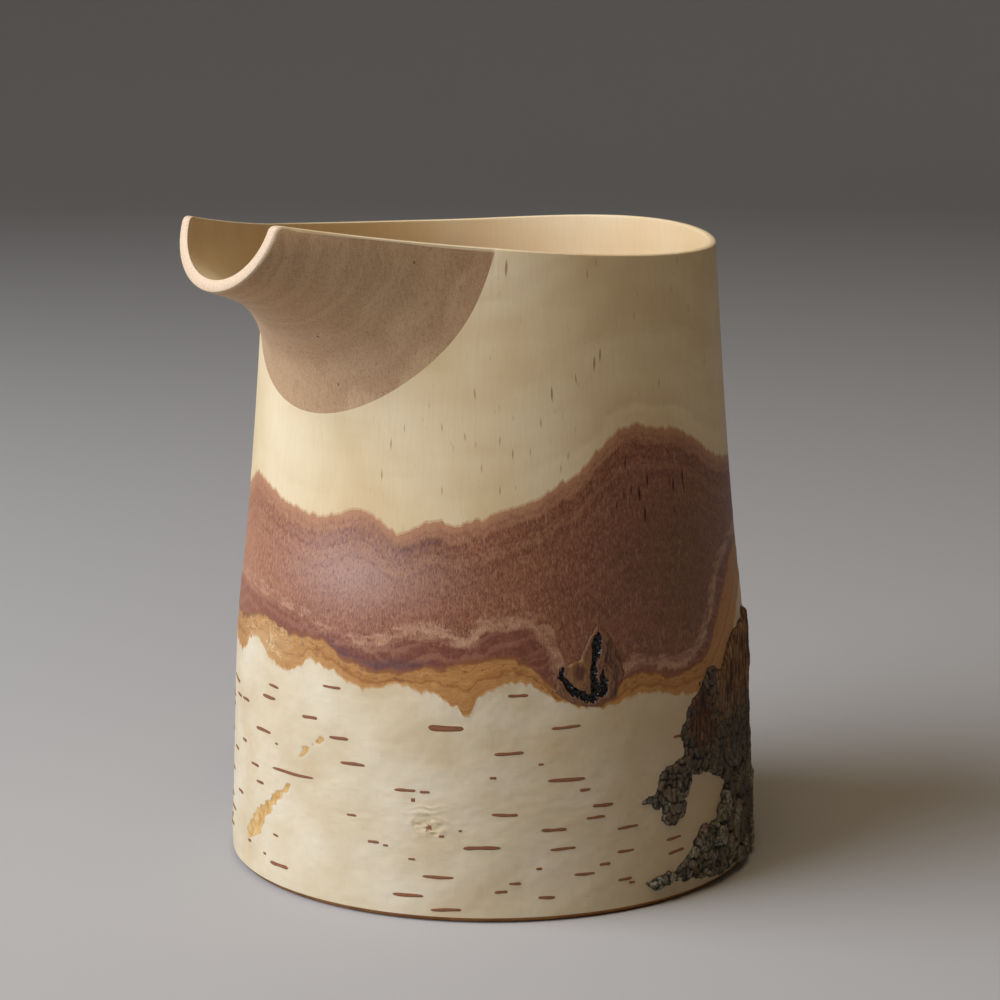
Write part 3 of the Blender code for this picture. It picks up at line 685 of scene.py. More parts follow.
def white_bark():
    """Papery skin from the chamfer up to its torn edge, with its peeled streaks and its scar."""
    turns = column_turns()
    top = white_edge(turns)
    share = np.interp(np.linspace(0, 1, 104), [0, 0.25, 0.62, 1], [0, 0.3, 0.55, 1])[:, None]
    heights = FOOT_CHAMFER + 0.05 + (top - FOOT_CHAMFER - 0.05) * share
    arc = arc_at(turns)
    peel = np.minimum(*(line_gap(turns, heights, line) for line in PEELS))
    peel += 0.9 * rough_noise(arc / 3.2, heights / 2.6, 45, 3)
    across, upward = arc - math.radians(SCAR[0]) * BARK_RADIUS, heights - SCAR[1]
    reach = np.hypot(across / 4.6, upward / 2.3) + 0.34 * rough_noise(across / 2.2, upward / 1.6, 43, 3)
    ridge = upward - 3.4 - 0.08 * across + 0.3 * np.sin(across)
    brow = bell(ridge / 0.35) + 0.8 * bell((ridge - 1.3) / 0.3)
    brow *= bell(across / 4.2)
    relief = 0.05 * rough_noise(arc / 3 + 70, heights / 1.6, 12, 3) * ease(1.4, 4, heights)
    crumple = 0.3 * rough_noise(across / 2.4 + 9, upward / 0.8, 44, 4)
    relief += ease(1.15, 0.6, reach) * (crumple - 0.1) + 0.1 * bell((reach - 1.0) / 0.2) + 0.26 * brow
    relief -= 0.16 * ease(0.3, -0.3, peel)
    skin = log_radius(heights) + bark_swell(turns, heights) + relief
    skin += 0.07 * ease(1.6, 0.2, top - heights)
    hidden = np.stack([top - 0.2, top * 0.6, top * 0.25, 0 * top + FOOT_CHAMFER + 0.05])
    inner = at(log_radius(hidden) - WHITE_DEPTH, turns, hidden)
    spot = np.hypot(across - 0.5, (upward + 0.3) * 0.7)
    # Painted shade: the white bark is darker round the right side, turns 100 to 150, away from the key light.
    aged = patch(turns, heights, (100, 30), (45, 70)) + patch(turns, heights, (150, 30), (45, 70))
    masks = {"peel": peel, "scar": reach, "spot": spot, "under_edge": top - heights}
    values = {name: padded(mask, 4, 9.0) for name, mask in masks.items()}
    rows = np.concatenate([at(skin, turns, heights), inner])
    sheets = Sheets()
    sheets.add(rows, 0, True, True, aged=padded(aged, 4), **values)
    return sheets.piece("white_bark_skin", [white_bark_finish()], "white_bark", "white_bark")


def padded(shown, rows, blank=0.0):
    """The values of the shown rows, followed by this many hidden rows of one value."""
    return np.vstack([shown, np.full((rows, shown.shape[1]), blank)])


def signed_gap(x, y, outline):
    """Distance in millimetres into a closed outline, negative outside it."""
    gap = np.full(x.shape, 999.0)
    inside = np.zeros(x.shape, bool)
    for (ax, ay), (bx, by) in zip(outline, np.roll(outline, -1, axis=0)):
        dx, dy = bx - ax, by - ay
        t = np.clip(((x - ax) * dx + (y - ay) * dy) / (dx * dx + dy * dy), 0, 1)
        gap = np.minimum(gap, np.hypot(x - ax - t * dx, y - ay - t * dy))
        crosses = (ay > y) != (by > y)
        with np.errstate(divide="ignore", invalid="ignore"):
            inside ^= crosses & (x < ax + (y - ay) * dx / np.where(dy == 0, 1e-9, dy))
    return np.where(inside, gap, -gap)


def raised_patch(outline, pitch, ragged, border, lift, sunk):
    """Height-field body over an outline: lift(arc, height, gap) inside it, dropping under the skin outside.

    Gap is the distance in from the ragged outline, over whose border the lift grows from nothing.
    """
    turns, heights = np.array(outline, float).T
    margin = 2.0
    low, high = np.radians([turns.min(), turns.max()]) * BARK_RADIUS
    arc = np.arange(low - margin, high + margin, pitch)
    rows = np.arange(max(heights.min() - margin, 0.6), heights.max() + margin, pitch)
    x, y = np.meshgrid(arc, rows)
    gap = signed_gap(x, y, np.column_stack([np.radians(turns) * BARK_RADIUS, heights]))
    gap = gap + ragged * rough_noise(x / 2.2, y / 2.2, 51, 3)
    height, values = lift(x, y, gap)
    proud = height * ease(0, border, gap) + 0.12 * ease(0, 0.3, gap)
    raised = np.where(gap > 0, proud, np.maximum(gap, -1) * 0.9)
    turn = np.degrees(x / BARK_RADIUS)
    skin = log_radius(y) + bark_swell(turn, y) + raised
    sheets = Sheets()
    back = np.minimum(log_radius(y) - sunk, skin - 0.2)
    sheets.add_slab(at(skin, turn, y), at(back, turn, y), **values, inside=gap)
    return sheets


def fissured(seed, proud, rusty=None):
    """Relief of old bark: small lumps, and larger upright plates further round, parted by fissures."""

    def lift(x, y, gap):
        turn = np.degrees(x / BARK_RADIUS)
        bend_x = 1.5 * rough_noise(x / 6, y / 6, seed + 7, 4)
        bend_y = 1.9 * rough_noise(x / 6 + 31, y / 8, seed + 8, 4)
        near_s, next_s, own_s = cells((x + bend_x) / 2.3 + 20, (y + bend_y) / 2.7 + 20, seed)
        near_b, next_b, own_b = cells((x + bend_x) / 4.4 + 20, (y + 1.5 * bend_y) / 9.5 + 20, seed + 1)
        fine = rough_noise(x / 0.9, y / 1.5, seed + 3, 4)
        # In the old bark this mask marks the region of large aged plates; it paints no shade.
        aged = ease(97, 104, turn + 2 * fine) * ease(44, 30, y)
        crack_s = 1 - ease(0.0, 0.24, next_s - near_s + 0.08 * fine)
        crack_b = 1 - ease(0.04, 0.2, next_b - near_b + 0.05 * fine)
        lumps = (0.3 + 0.7 * own_s) * (1 - 0.9 * crack_s)
        plates = (0.7 + 0.7 * own_b) * (1 - crack_b) + 0.2 * (1 - crack_s)
        fibre = ease(101.5, 106, turn + 3 * fine) * ease(40, 52, y + 3 * fine)
        strands = rough_noise(x / 0.8, y / 11, seed + 5, 3)
        rust = fibre * 0
        if rusty:
            rust = ease(0.2, 0.75, patch(turn, y, *rusty) + 0.35 * fine) * (1 - fibre)
        height = proud * (lumps * (1 - aged) + plates * aged) + 0.2 * fine
        height = height * (1 - rust) + rust * (0.5 + 0.25 * strands + 0.2 * fine)
        height = height * (1 - fibre) + fibre * (0.6 + 0.55 * strands + 0.1 * fine)
        crack = np.maximum(crack_s * (1 - 0.8 * aged), crack_b * aged)
        tone = (own_s * (1 - aged) + own_b * aged) * (0.35 + 0.65 * ease(34, 27, y))
        height = np.maximum(height, 0.1)
        values = {"crack": crack * (1 - fibre) * (1 - 0.8 * rust), "tone": tone, "fibre": fibre, "rust": rust}
        return height, values

    return lift


def rough_bark():
    """Three plates of old bark, each standing a little proud of the smooth bark round it."""
    old = old_bark_finish()
    for name, outline, lift in (
        ("upper", UPPER_PLATE, fissured(61, 0.95, ((98.5, 47), (6.5, 9)))),
        ("left", LEFT_PLATE, fissured(71, 0.9)),
        ("lower", LOWER_PLATE, fissured(81, 1.3)),
    ):
        sheets = raised_patch(outline, 0.33, 1.0, 1.1, lift, 1.6)
        sheets.piece(f"old_bark_{name}", [old], f"rough_bark_{name}", "rough_bark")


def branch_knot():
    """Healed branch stub: a hooked, resin-filled crack round a small red isle, in an ochre rim."""

    def lift(x, y, gap):
        turn = np.degrees(x / BARK_RADIUS)
        crack = np.minimum.reduce([line_gap(turn, y, line) for line in CRACKS])
        crack = crack + 0.5 * rough_noise(x / 1.3, y / 1.8, 90, 4)
        beads = rough_noise(x / 0.45, y / 0.45, 91, 3)
        char = ease(0.35, -0.35, crack)
        height = 0.12 + 0.08 * rough_noise(x / 0.9, y / 4, 92, 3) - char * (0.6 - 0.25 * beads)
        isle = np.hypot(x - math.radians(KNOT_ISLE[0]) * BARK_RADIUS, (y - KNOT_ISLE[1]) / 1.35)
        return height, {"crack": crack, "isle": isle}

    sheets = raised_patch(KNOT_OUTLINE, 0.17, 0.3, 0.6, lift, 3.4)
    return sheets.piece("branch_knot_healed", [knot_finish()], "branch_knot", "resinous_knot")


def lenticels():
    """Brown pores of the bark: flat bars with rounded ends that run round the log, some broken in two."""
    rng = np.random.default_rng(5)
    listed = [(*row, 1.0)[:4] for row in LENTICELS]
    for height in np.arange(4, 62, 3.4):
        for turn in np.arange(112 + rng.uniform(0, 12), 330, 19):
            place = turn + rng.uniform(-8, 8)
            level = height + rng.uniform(-1.5, 1.5)
            if level < white_edge(place) - 2 and not (place < 162 and level < 72):
                length = rng.choice([2.2, 3.4, 5, 6.6, 8.4, 10.5])
                listed.append((place, level, length, 1.0 + (rng.random() < 0.08)))
    u = np.linspace(-1, 1, 19)[:, None]
    v = np.linspace(-1, 1, 5)[None, :]
    sheets = Sheets()
    for turn, level, length, fatness in listed:
        width = (0.21 + 0.1 * min(length, 9) ** 0.4) * rng.uniform(0.85, 1.1) * fatness
        ends = np.sqrt(1 - abs(u) ** 6)
        fat = width * ends * (1 + 0.1 * np.sin(u * rng.uniform(2, 6) + rng.uniform(0, 6)))
        arc = u * length / 2
        bend = 0.006 * length * np.sin(u * 3 + rng.uniform(0, 6))
        heights = level + arc * rng.uniform(-0.03, 0.05) + fat * v + bend
        turns = turn + np.degrees(arc / BARK_RADIUS) + 0 * v
        rim = np.maximum(v**2, u**12)
        lift = 0.07 * np.sqrt(1 - v**2) * ends + 0.05
        radius = log_radius(heights) + bark_swell(turns, heights) + lift
        sheets.add_slab(at(radius, turns, heights), at(radius - 0.45, turns, heights), core=1 - rim)
    return sheets.piece("lenticels", [lenticel_finish()], None, "white_bark")


def slivers(name, marks, finish, slot, proud=0.02):
    """Upright lens-shaped slivers laid in the surface: core is 1 on their spine and 0 at their edge."""
    rng = np.random.default_rng(9)
    u, v = np.linspace(-1, 1, 11)[:, None], np.linspace(-1, 1, 5)[None, :]
    sheets = Sheets()
    for turn, level, strength in marks:
        length, width = 1.8 + 3.6 * strength, 0.16 + 0.24 * strength
        lean = rng.uniform(-0.12, 0.08)
        heights = level + u * length / 2 + 0 * v
        across = width * (1 - u**2) * v + lean * u * length / 2
        turns = turn + np.degrees(across / 64)
        radius = log_radius(heights) + proud
        core = (1 - v**2) * (1 - u**2) * (0.35 + 0.65 * strength)
        front, back = at(radius, turns, heights), at(radius - 0.3, turns, heights)
        sheets.add_slab(front, back, core=core, bare=1.0, over_bark=FAR)
    return sheets.piece(name, [finish], None, slot)


def pith_flecks(wood):
    """Brown flecks in the wood, the strong ones listed and faint ones strewn all round."""
    rng = np.random.default_rng(17)
    marks = list(FLECKS)
    for _ in range(90):
        turn = rng.uniform(-45, 315)
        level = rng.uniform(112, 168)
        if wood_edge(turn) + 3 < level < body_top(np.array(turn)) - 4:
            marks.append((turn, level, rng.uniform(0.02, 0.25) + 0.4 * (rng.random() < 0.05)))
    slivers("pith_flecks", marks, wood, "birch_sapwood")
    slivers("bark_flecks", BARK_FLECKS, dark_fleck_finish(), "inner_bark", 0.09)


# ---------------------------------------------------------------- finishes


def linear(code):
    """The linear colour of an sRGB hex value, with alpha 1."""
    parts = [int(code[k : k + 2], 16) / 255 for k in (1, 3, 5)]
    return (*(p / 12.92 if p <= 0.04045 else ((p + 0.055) / 1.055) ** 2.4 for p in parts), 1.0)


class Finish:
    """A procedural material in the making: its nodes, and in base the colour of its coats so far.

    Sizes and distances are in millimetres. A factor is a number or a socket, a colour a hex value
    or a socket, and a stop a place with a number or a colour.
    """

    def __init__(self, name, roughness, specular=0.35):
        self.material = bpy.data.materials.new(name)
        self.material.use_nodes = True
        self.tree = self.material.node_tree
        self.shader = self.tree.nodes["Principled BSDF"].inputs
        for label, value in (("Roughness", roughness), ("IOR", 1.45), ("Specular IOR Level", specular)):
            self.shader[label].default_value = value
        self.place = self.add("ShaderNodeTexCoord").outputs["Object"]

    def add(self, kind, inputs=None, stops=None, **settings):
        """One node with its settings, its colour stops and its inputs, each a value or a socket to link."""
        node = self.tree.nodes.new(kind)
        for name, value in settings.items():
            setattr(node, name, value)
        for key, value in (inputs or {}).items():
            value = linear(value) if isinstance(value, str) else value
            if isinstance(value, bpy.types.NodeSocket):
                self.tree.links.new(value, node.inputs[key])
            else:
                node.inputs[key].default_value = value
        if stops:
            elements = node.color_ramp.elements
            while len(elements) < len(stops):
                elements.new(1.0)
            for element, (place, colour) in zip(elements, stops):
                element.position = place
                element.color = linear(colour) if isinstance(colour, str) else (colour, colour, colour, 1)
        return node

    def noise(self, size, stretch=(1, 1, 1), detail=3.0, roughness=0.5, distortion=0.0):
        """Noise whose features are about this size, stretched by these factors."""
        scale = tuple(1 / (size * MM * s) for s in stretch)
        mapped = self.add("ShaderNodeMapping", {"Vector": self.place, "Scale": scale})
        inputs = {"Vector": mapped.outputs["Vector"], "Scale": 1.0, "Detail": detail}
        inputs |= {"Roughness": roughness, "Distortion": distortion}
        return self.add("ShaderNodeTexNoise", inputs).outputs["Fac"]

    def bands(self, distance, size, detail=2.0):
        """Noise along one distance: parallel bands of about this size."""
        inputs = {"W": self.times(distance, 1 / size), "Scale": 1.0, "Detail": detail}
        return self.add("ShaderNodeTexNoise", inputs, noise_dimensions="1D").outputs["Fac"]

    def value(self, label):
        """A value that the mesh carries at its points."""
        return self.add("ShaderNodeAttribute", attribute_name=label).outputs["Fac"]

    def reckon(self, operation, *values, clamp=False):
        """The result of a Math node."""
        node = self.add("ShaderNodeMath", dict(enumerate(values)), operation=operation, use_clamp=clamp)
        return node.outputs[0]

    def times(self, first, second, clamp=False):
        return self.reckon("MULTIPLY", first, second, clamp=clamp)

    def plus(self, first, second, factor=None):
        """The first value plus the second, or plus the second times the factor."""
        return self.reckon("ADD", first, second if factor is None else self.times(second, factor))

    def minus(self, first, second, clamp=False):
        return self.reckon("SUBTRACT", first, second, clamp=clamp)

    def size_of(self, value):
        return self.reckon("ABSOLUTE", value)

    def ramp(self, factor, *stops):
        return self.add("ShaderNodeValToRGB", {"Fac": factor}, stops).outputs["Color"]

    def mix(self, factor, first, second):
        """Mix of two colours."""
        node = self.add("ShaderNodeMix", {0: factor, 6: first, 7: second}, data_type="RGBA")
        return node.outputs[2]

    def coat(self, colour, factor, *stops):
        """Lays a colour over the coats so far, by a factor that goes through a ramp if there are stops."""
        self.base = self.mix(self.ramp(factor, *stops) if stops else factor, self.base, colour)

    def done(self, height=None, depth=0.0, strength=1.0):
        """The finished material, with relief of this depth if a height is given."""
        self.tree.links.new(self.base, self.shader["Base Color"])
        if height:
            inputs = {"Height": height, "Distance": depth * MM, "Strength": strength}
            self.tree.links.new(self.add("ShaderNodeBump", inputs).outputs["Normal"], self.shader["Normal"])
        return self.material


def sapwood():
    """Oiled birch sapwood cut along the fibres: silky, pale cream, with upright pores and brown flecks."""
    f = Finish("oiled birch sapwood", 0.42, 0.45)
    cloud = f.noise(26, (1, 1, 1.5), 2)
    rings = f.noise(7, (5, 5, 1), 2, 0.5, 0.3)
    fibre = f.noise(0.7, (1, 1, 22), 3, 0.55)
    pore = f.noise(0.5, (1, 1, 7), 1)
    over_bark = f.value("over_bark")
    f.base = f.ramp(cloud, (0.3, "#E8D4AE"), (0.55, "#E2CBA0"), (0.75, "#D6BA8A"))
    f.coat("#C6A673", rings, (0.45, 0), (0.7, 0.15))
    year = f.ramp(f.bands(f.plus(over_bark, rings, 9), 8, 1), (0.45, 0), (0.7, 0.3))
    f.coat("#B98F5C", f.times(year, f.value("figure")))
    f.coat("#B08A58", fibre, (0.4, 0), (0.75, 0.09))
    f.coat("#A67F4E", pore, (0.7, 0), (0.8, 0.2))
    # Painted shade: where bare falls to 0, inside the hollow and deep in the spout, the sapwood is painted a
    # warmer, darker tan.
    inside = f.mix(f.ramp(cloud, (0.3, 0.15), (0.7, 0.35)), f.base, "#DDB47A")
    f.base = f.mix(f.value("bare"), inside, f.base)
    f.coat("#B98556", f.minus(over_bark, f.times(fibre, 0.9)), (0.0, 0.55), (0.35, 0))
    f.coat("#84522C", f.value("core"), (0.02, 0), (0.8, 0.75))
    return f.done(fibre, 0.04, 0.5)


def scoop_wood():
    """Birch cut across the fibres under the spout: it drinks the oil, so it is tan, speckled and ringed."""
    f = Finish("oiled birch end grain", 0.5)
    speckle = f.noise(0.36, (1, 1, 1.5), 2, 0.7)
    cloud = f.noise(18)
    middle = (-AXIS[0] * MM, -AXIS[1] * MM, 0.0)
    flat = f.add("ShaderNodeMapping", {"Vector": f.place, "Location": middle, "Scale": (1, 1, 0)})
    radius = f.add("ShaderNodeVectorMath", {0: flat.outputs[0]}, operation="LENGTH").outputs["Value"]
    ring = f.bands(f.plus(f.times(radius, 1 / (2.6 * MM)), cloud, 2.5), 1, 1)
    f.base = f.ramp(cloud, (0.3, "#C9A57F"), (0.7, "#B7926B"))
    f.coat("#96704C", ring, (0.4, 0), (0.6, 0.26))
    f.coat("#D3AE84", speckle, (0.42, 0), (0.62, 0.45))
    f.coat("#84603F", speckle, (0.28, 0.5), (0.42, 0))
    f.coat("#8F6845", f.noise(0.5, (1, 1, 9), 3, 0.6), (0.5, 0), (0.7, 0.35))
    cell = f.add("ShaderNodeMapping", {"Vector": f.place, "Scale": (300, 300, 240)}).outputs[0]
    dots = f.add("ShaderNodeTexVoronoi", {"Vector": cell, "Scale": 1.0, "Randomness": 1.0}).outputs
    near = f.ramp(dots["Distance"], (0.07, 0.8), (0.13, 0))
    f.coat("#6A452C", f.times(near, f.ramp(dots["Color"], (0.6, 0), (0.72, 1))))
    return f.done(speckle, 0.05, 0.5)


def lip_wood():
    """Birch end grain sanded smooth on the lip: pale, a little pink, with a fine even speckle and a painted
    highlight along both sides of its rounding.
    """
    f = Finish("sanded birch end grain", 0.5)
    speckle = f.noise(0.36, (1, 1, 1), 2, 0.7)
    f.base = f.ramp(speckle, (0.3, "#C4A483"), (0.5, "#D3B897"), (0.7, "#DFCAAD"))
    # Painted highlight: paler towards both sides of the lip's rounding.
    f.coat("#EBD8B0", f.value("edge"), (0.55, 0), (0.95, 0.7))
    return f.done(speckle, 0.03, 0.5)


def board_wood(name):
    """Planed birch with its growth rings cut across: straight grain lines."""
    f = Finish(name, 0.55)
    fibre = f.noise(1.2, (30, 1, 1), 4, 0.6)
    f.base = f.ramp(fibre, (0.3, "#E0C898"), (0.7, "#C9A06A"))
    return f.done(fibre, 0.05, 0.5)


def inner_bark_finish():
    """Cut inner bark: red-brown, finely flecked and banded, with a pale vein over a maroon layer, lighter
    round the left side with painted light and darker round the right with painted shade.
    """
    f = Finish("cut inner bark", 0.46, 0.5)
    under_wood, orange, painted_right_shade = (f.value(label) for label in ("under_wood", "orange", "painted_right_shade"))
    cloud = f.noise(16, (1, 1, 0.8))
    wave = f.minus(f.noise(4.5, (1.6, 1.6, 0.8), 4, 0.6, 0.5), 0.5)
    fuzz = f.minus(f.noise(0.5, (1, 1, 3.5), 3, 0.6), 0.5)
    fleck = f.noise(0.4, (1, 1, 2.6), 4, 0.7)
    grit = f.noise(1.1, (1, 1, 1.6), 5, 0.75)
    vein = f.plus(f.plus(f.value("over_vein"), wave, 4.2), fuzz, 3.4)

    f.base = f.ramp(cloud, (0.3, "#854C33"), (0.5, "#894E34"), (0.7, "#754028"))
    f.coat("#B08A7C", f.value("mauve"))
    # Painted light: lighter orange-red round the left side, where the key light falls.
    f.coat("#AC7456", f.times(orange, 0.9))
    # Painted shade: darker brown round the right side, away from the key light.
    f.coat("#6B4B38", f.times(painted_right_shade, 0.75, True))
    band = f.bands(f.plus(under_wood, wave, 4.0), 2.2, 3)
    near_wood = f.ramp(f.times(under_wood, 0.05), (0.0, 1), (0.8, 0.12))
    f.coat("#B5835F", f.times(f.ramp(band, (0.46, 0), (0.6, 0.7)), near_wood))
    f.coat("#6A3826", f.times(f.ramp(band, (0.36, 0.6), (0.46, 0)), near_wood))
    near_vein = f.ramp(f.times(vein, 0.08, True), (0.0, 1), (1.0, 0))
    line = f.ramp(f.times(near_vein, f.bands(vein, 1.3)), (0.34, 0), (0.48, 0.8))
    f.coat("#BE9273", f.times(line, f.ramp(f.noise(3, (2, 2, 0.7), 3, 0.6), (0.4, 0), (0.6, 1))))
    # Painted shade: calmer, lower-contrast grit and flecks round the right side.
    calm = f.minus(1.0, f.times(painted_right_shade, 0.5), True)
    f.coat("#B38460", f.times(f.ramp(grit, (0.5, 0), (0.72, 0.5)), calm))
    f.coat("#C3946F", f.times(f.ramp(fleck, (0.5, 0), (0.64, 0.42)), calm))
    f.coat("#BF9473", f.noise(0.8, (1, 1, 4.5), 2), (0.6, 0), (0.7, 0.3))
    f.coat("#5E3424", grit, (0.3, 0.5), (0.46, 0))
    f.coat("#4F2A1C", fleck, (0.32, 0.6), (0.47, 0))

    layer = f.ramp(f.plus(f.times(vein, 0.3), 0.6), (0.0, 1), (0.6, 0))
    # Painted light: the maroon layer is also lighter round the left side.
    maroon = f.mix(orange, "#6B3425", "#8C5440")
    maroon = f.mix(f.ramp(grit, (0.45, 0), (0.65, 0.5)), maroon, "#945C44")
    maroon = f.mix(f.ramp(band, (0.5, 0), (0.62, 0.35)), maroon, "#A8755A")
    f.coat(maroon, f.times(layer, 0.85))
    gap = f.reckon("DIVIDE", f.size_of(vein), f.plus(1.4, wave, 5.5))
    ribbon = f.times(f.ramp(gap, (0.1, 1), (1.3, 0)), f.value("vein_strength"))
    f.coat("#BE9472", f.times(ribbon, f.ramp(grit, (0.35, 0.3), (0.6, 0.95))))

    f.coat("#503339", f.times(f.value("bruise"), f.ramp(grit, (0.35, 0.8), (0.65, 0.5))))
    f.coat("#8A5432", f.plus(f.value("over_cork"), wave, 2.4), (0.2, 0.8), (1.0, 0))
    high = f.times(f.plus(f.plus(under_wood, wave, 3.0), fuzz, 4.5), 0.22)
    f.coat("#B98560", high, (0.0, 0.8), (0.85, 0))
    return f.done(fleck, 0.14, 0.7)


def cork_finish():
    """Cut cork cambium and young cork: orange to ochre bands, browner at the top, pale threads in places."""
    f = Finish("cut orange cork", 0.5, 0.4)
    under, over, threads = (f.value(label) for label in ("under_bark", "over_white", "threads"))
    wave = f.minus(f.noise(4.0, (1.8, 1.8, 0.8), 4, 0.6, 0.5), 0.5)
    fine = f.noise(0.7, (1.8, 1.8, 0.6), 3, 0.6)
    speckle = f.noise(1.6, (1, 1, 1), 4, 0.7)
    band = f.bands(f.plus(f.minus(over, under), wave, 9), 2.6, 4)
    colours = (0.3, "#96602F"), (0.44, "#B07A40"), (0.52, "#BC8A50"), (0.6, "#AC7338"), (0.72, "#C69A62")
    f.base = f.ramp(band, *colours)
    f.coat("#8F5C2E", speckle, (0.5, 0), (0.7, 0.4))
    f.coat("#8A5529", fine, (0.5, 0), (0.75, 0.4))
    top = f.plus(under, wave, 4.0)
    f.coat("#7B4A2C", top, (0.2, 0.8), (1.4, 0))
    vein = f.ramp(f.size_of(f.minus(top, 2.1)), (0.1, 0.6), (0.45, 0))
    f.coat("#6E3F2C", f.times(vein, f.ramp(speckle, (0.5, 0), (0.6, 1))))
    f.coat("#C9A06A", f.plus(over, wave, 1.2), (0.0, 0.6), (0.5, 0))
    f.coat("#D2AE80", f.times(threads, 0.4))
    thread = f.size_of(f.minus(f.noise(7, (1, 1, 0.5), 3, 0.6, 1.0), 0.5))
    pale = f.times(f.ramp(thread, (0.008, 1), (0.022, 0)), threads)
    f.coat("#E6CB98", f.times(pale, 0.75))
    return f.done(fine, 0.08, 0.6)


def white_bark_finish():
    """Papery birch bark, rubbed smooth: cream and faintly fibrous, ochre where it has peeled."""
    f = Finish("smooth white birch bark", 0.46, 0.5)
    cloud = f.noise(18, (1, 1, 0.8))
    fibre = f.noise(0.9, (6, 6, 0.7), 3, 0.6)
    weave = f.noise(0.8, (1, 1, 6), 3, 0.6)
    ragged = f.minus(f.noise(1.1, (1, 1, 1), 4, 0.6), 0.5)
    f.base = f.ramp(cloud, (0.3, "#E2D3B6"), (0.5, "#DAC9A7"), (0.7, "#D2BC94"))
    f.coat("#C4AA82", fibre, (0.45, 0), (0.75, 0.14))
    f.coat("#C8AD86", weave, (0.5, 0), (0.75, 0.1))
    # Painted shade: darker tan round the right side of the white bark.
    f.coat("#B89D74", f.times(f.value("aged"), 0.6, True))
    f.coat("#A9825A", f.noise(1.3, (1.8, 1.8, 0.6), 1, 0.4), (0.79, 0), (0.84, 0.45))
    f.coat("#C4935A", f.plus(f.value("under_edge"), ragged, 2.6), (0.0, 0.75), (0.55, 0))

    peel = f.plus(f.value("peel"), ragged, 2.2)
    mottle = f.noise(2.2, (1, 1, 1.6), 5, 0.7)
    ochre = f.ramp(mottle, (0.35, "#B98844"), (0.5, "#D2A866"), (0.65, "#DDBB80"))
    f.coat(ochre, peel, (0.0, 1), (0.12, 0))
    f.coat("#A87536", f.size_of(f.minus(peel, 0.1)), (0.02, 0.5), (0.22, 0))

    scar = f.plus(f.value("scar"), ragged, 0.7)
    f.coat("#D9C394", scar, (0.75, 0.45), (1.0, 0))
    f.coat("#A88458", f.size_of(f.minus(scar, 0.95)), (0.0, 0.25), (0.12, 0))
    f.coat("#94532F", f.plus(f.value("spot"), ragged, 3.0), (0.4, 0.9), (0.95, 0))
    return f.done(f.plus(fibre, weave), 0.05, 0.5)


def lenticel_finish():
    """Lenticel cork: warm brown, darker near the rim of the pore."""
    f = Finish("lenticel cork", 0.6)
    grain = f.noise(0.6, (3, 3, 0.5))
    f.base = f.ramp(f.value("core"), (0.0, "#A07650"), (0.3, "#74482C"), (0.7, "#875739"), (1.0, "#936141"))
    f.coat("#74422A", grain, (0.45, 0), (0.7, 0.45))
    return f.done(grain, 0.06, 0.6)


def dark_fleck_finish():
    """Old resin in the inner bark: a nearly black spine that fades to red-brown."""
    f = Finish("dark resin fleck", 0.5)
    f.base = f.ramp(f.value("core"), (0.0, "#6E4432"), (0.6, "#2A1A16"))
    return f.done()


def old_bark_finish():
    """Old weathered bark: black fissures between grey-brown lumps, rusty inner strips, fibrous ridges."""
    f = Finish("old fissured birch bark", 0.72, 0.4)
    fine = f.noise(0.8, (1, 1, 1.6), 5, 0.7)
    strand = f.noise(0.8, (1, 1, 9), 4, 0.65)
    f.base = f.ramp(fine, (0.32, "#2E291F"), (0.45, "#676050"), (0.56, "#9A927C"), (0.72, "#C4BCA6"))
    f.coat("#3F372A", f.value("tone"), (0.2, 0.75), (0.75, 0))
    f.coat("#80654A", f.noise(5, (1, 1, 1.4)), (0.5, 0), (0.65, 0.5))
    rust = f.ramp(strand, (0.32, "#1E1410"), (0.48, "#4A2F1F"), (0.58, "#6B4428"), (0.72, "#8A623C"))
    brown = f.ramp(strand, (0.32, "#2B1C14"), (0.45, "#5E3F28"), (0.56, "#85623F"), (0.7, "#A88860"))
    f.coat(rust, f.value("rust"))
    f.coat(brown, f.value("fibre"))
    f.coat("#0C0A08", f.times(f.value("crack"), 0.97))
    f.coat("#2B2620", f.value("inside"), (0.0, 0.75), (0.5, 0))
    return f.done(fine, 0.4, 0.8)


def knot_finish():
    """Healed knot: a black resin-filled crack, a red isle in an ochre ring, and brown callus fibres."""
    f = Finish("resinous knot", 0.45, 0.5)
    crack = f.value("crack")
    wobble = f.minus(f.noise(1.6, (1, 1, 1.3), 4), 0.5)
    strand = f.noise(0.6, (1, 1, 6), 3, 0.6, 0.6)
    f.base = f.ramp(strand, (0.3, "#3C241D"), (0.5, "#5F3B2D"), (0.62, "#84583A"), (0.75, "#553226"))
    line = f.bands(f.plus(crack, wobble, 1.6), 0.9)
    f.coat("#8D6340", line, (0.48, 0), (0.6, 0.7))
    f.coat("#38211A", line, (0.36, 0.7), (0.46, 0))
    f.coat("#7C5134", f.plus(f.value("inside"), wobble, 2.6), (0.2, 0.6), (0.9, 0))
    isle = f.times(f.plus(f.value("isle"), wobble, 2.6), 0.2)
    f.coat("#8F653A", isle, (0.5, 0.8), (0.8, 0))
    f.coat("#5A3028", isle, (0.25, 0.9), (0.42, 0))
    char = f.ramp(crack, (0.0, 1), (0.35, 0))
    f.coat("#15120F", char)
    f.tree.links.new(f.ramp(char, (0.3, 0.5), (0.9, 0.2)), f.shader["Roughness"])
    return f.done(f.noise(0.5, (1, 1, 1.5)), 0.15, 0.7)


# ---------------------------------------------------------------- camera, floor and light

CAMERA_DISTANCE, CAMERA_HEIGHT = 791.9, 250.3  # from the log's axis, and above the floor
CAMERA_AZIMUTH, CAMERA_YAW, CAMERA_PITCH = -43.5, 0.19, 10.93
LENS, SENSOR = 105.2, 36.0
JUG_MIDDLE = 0.09  # height in metres that the lights face


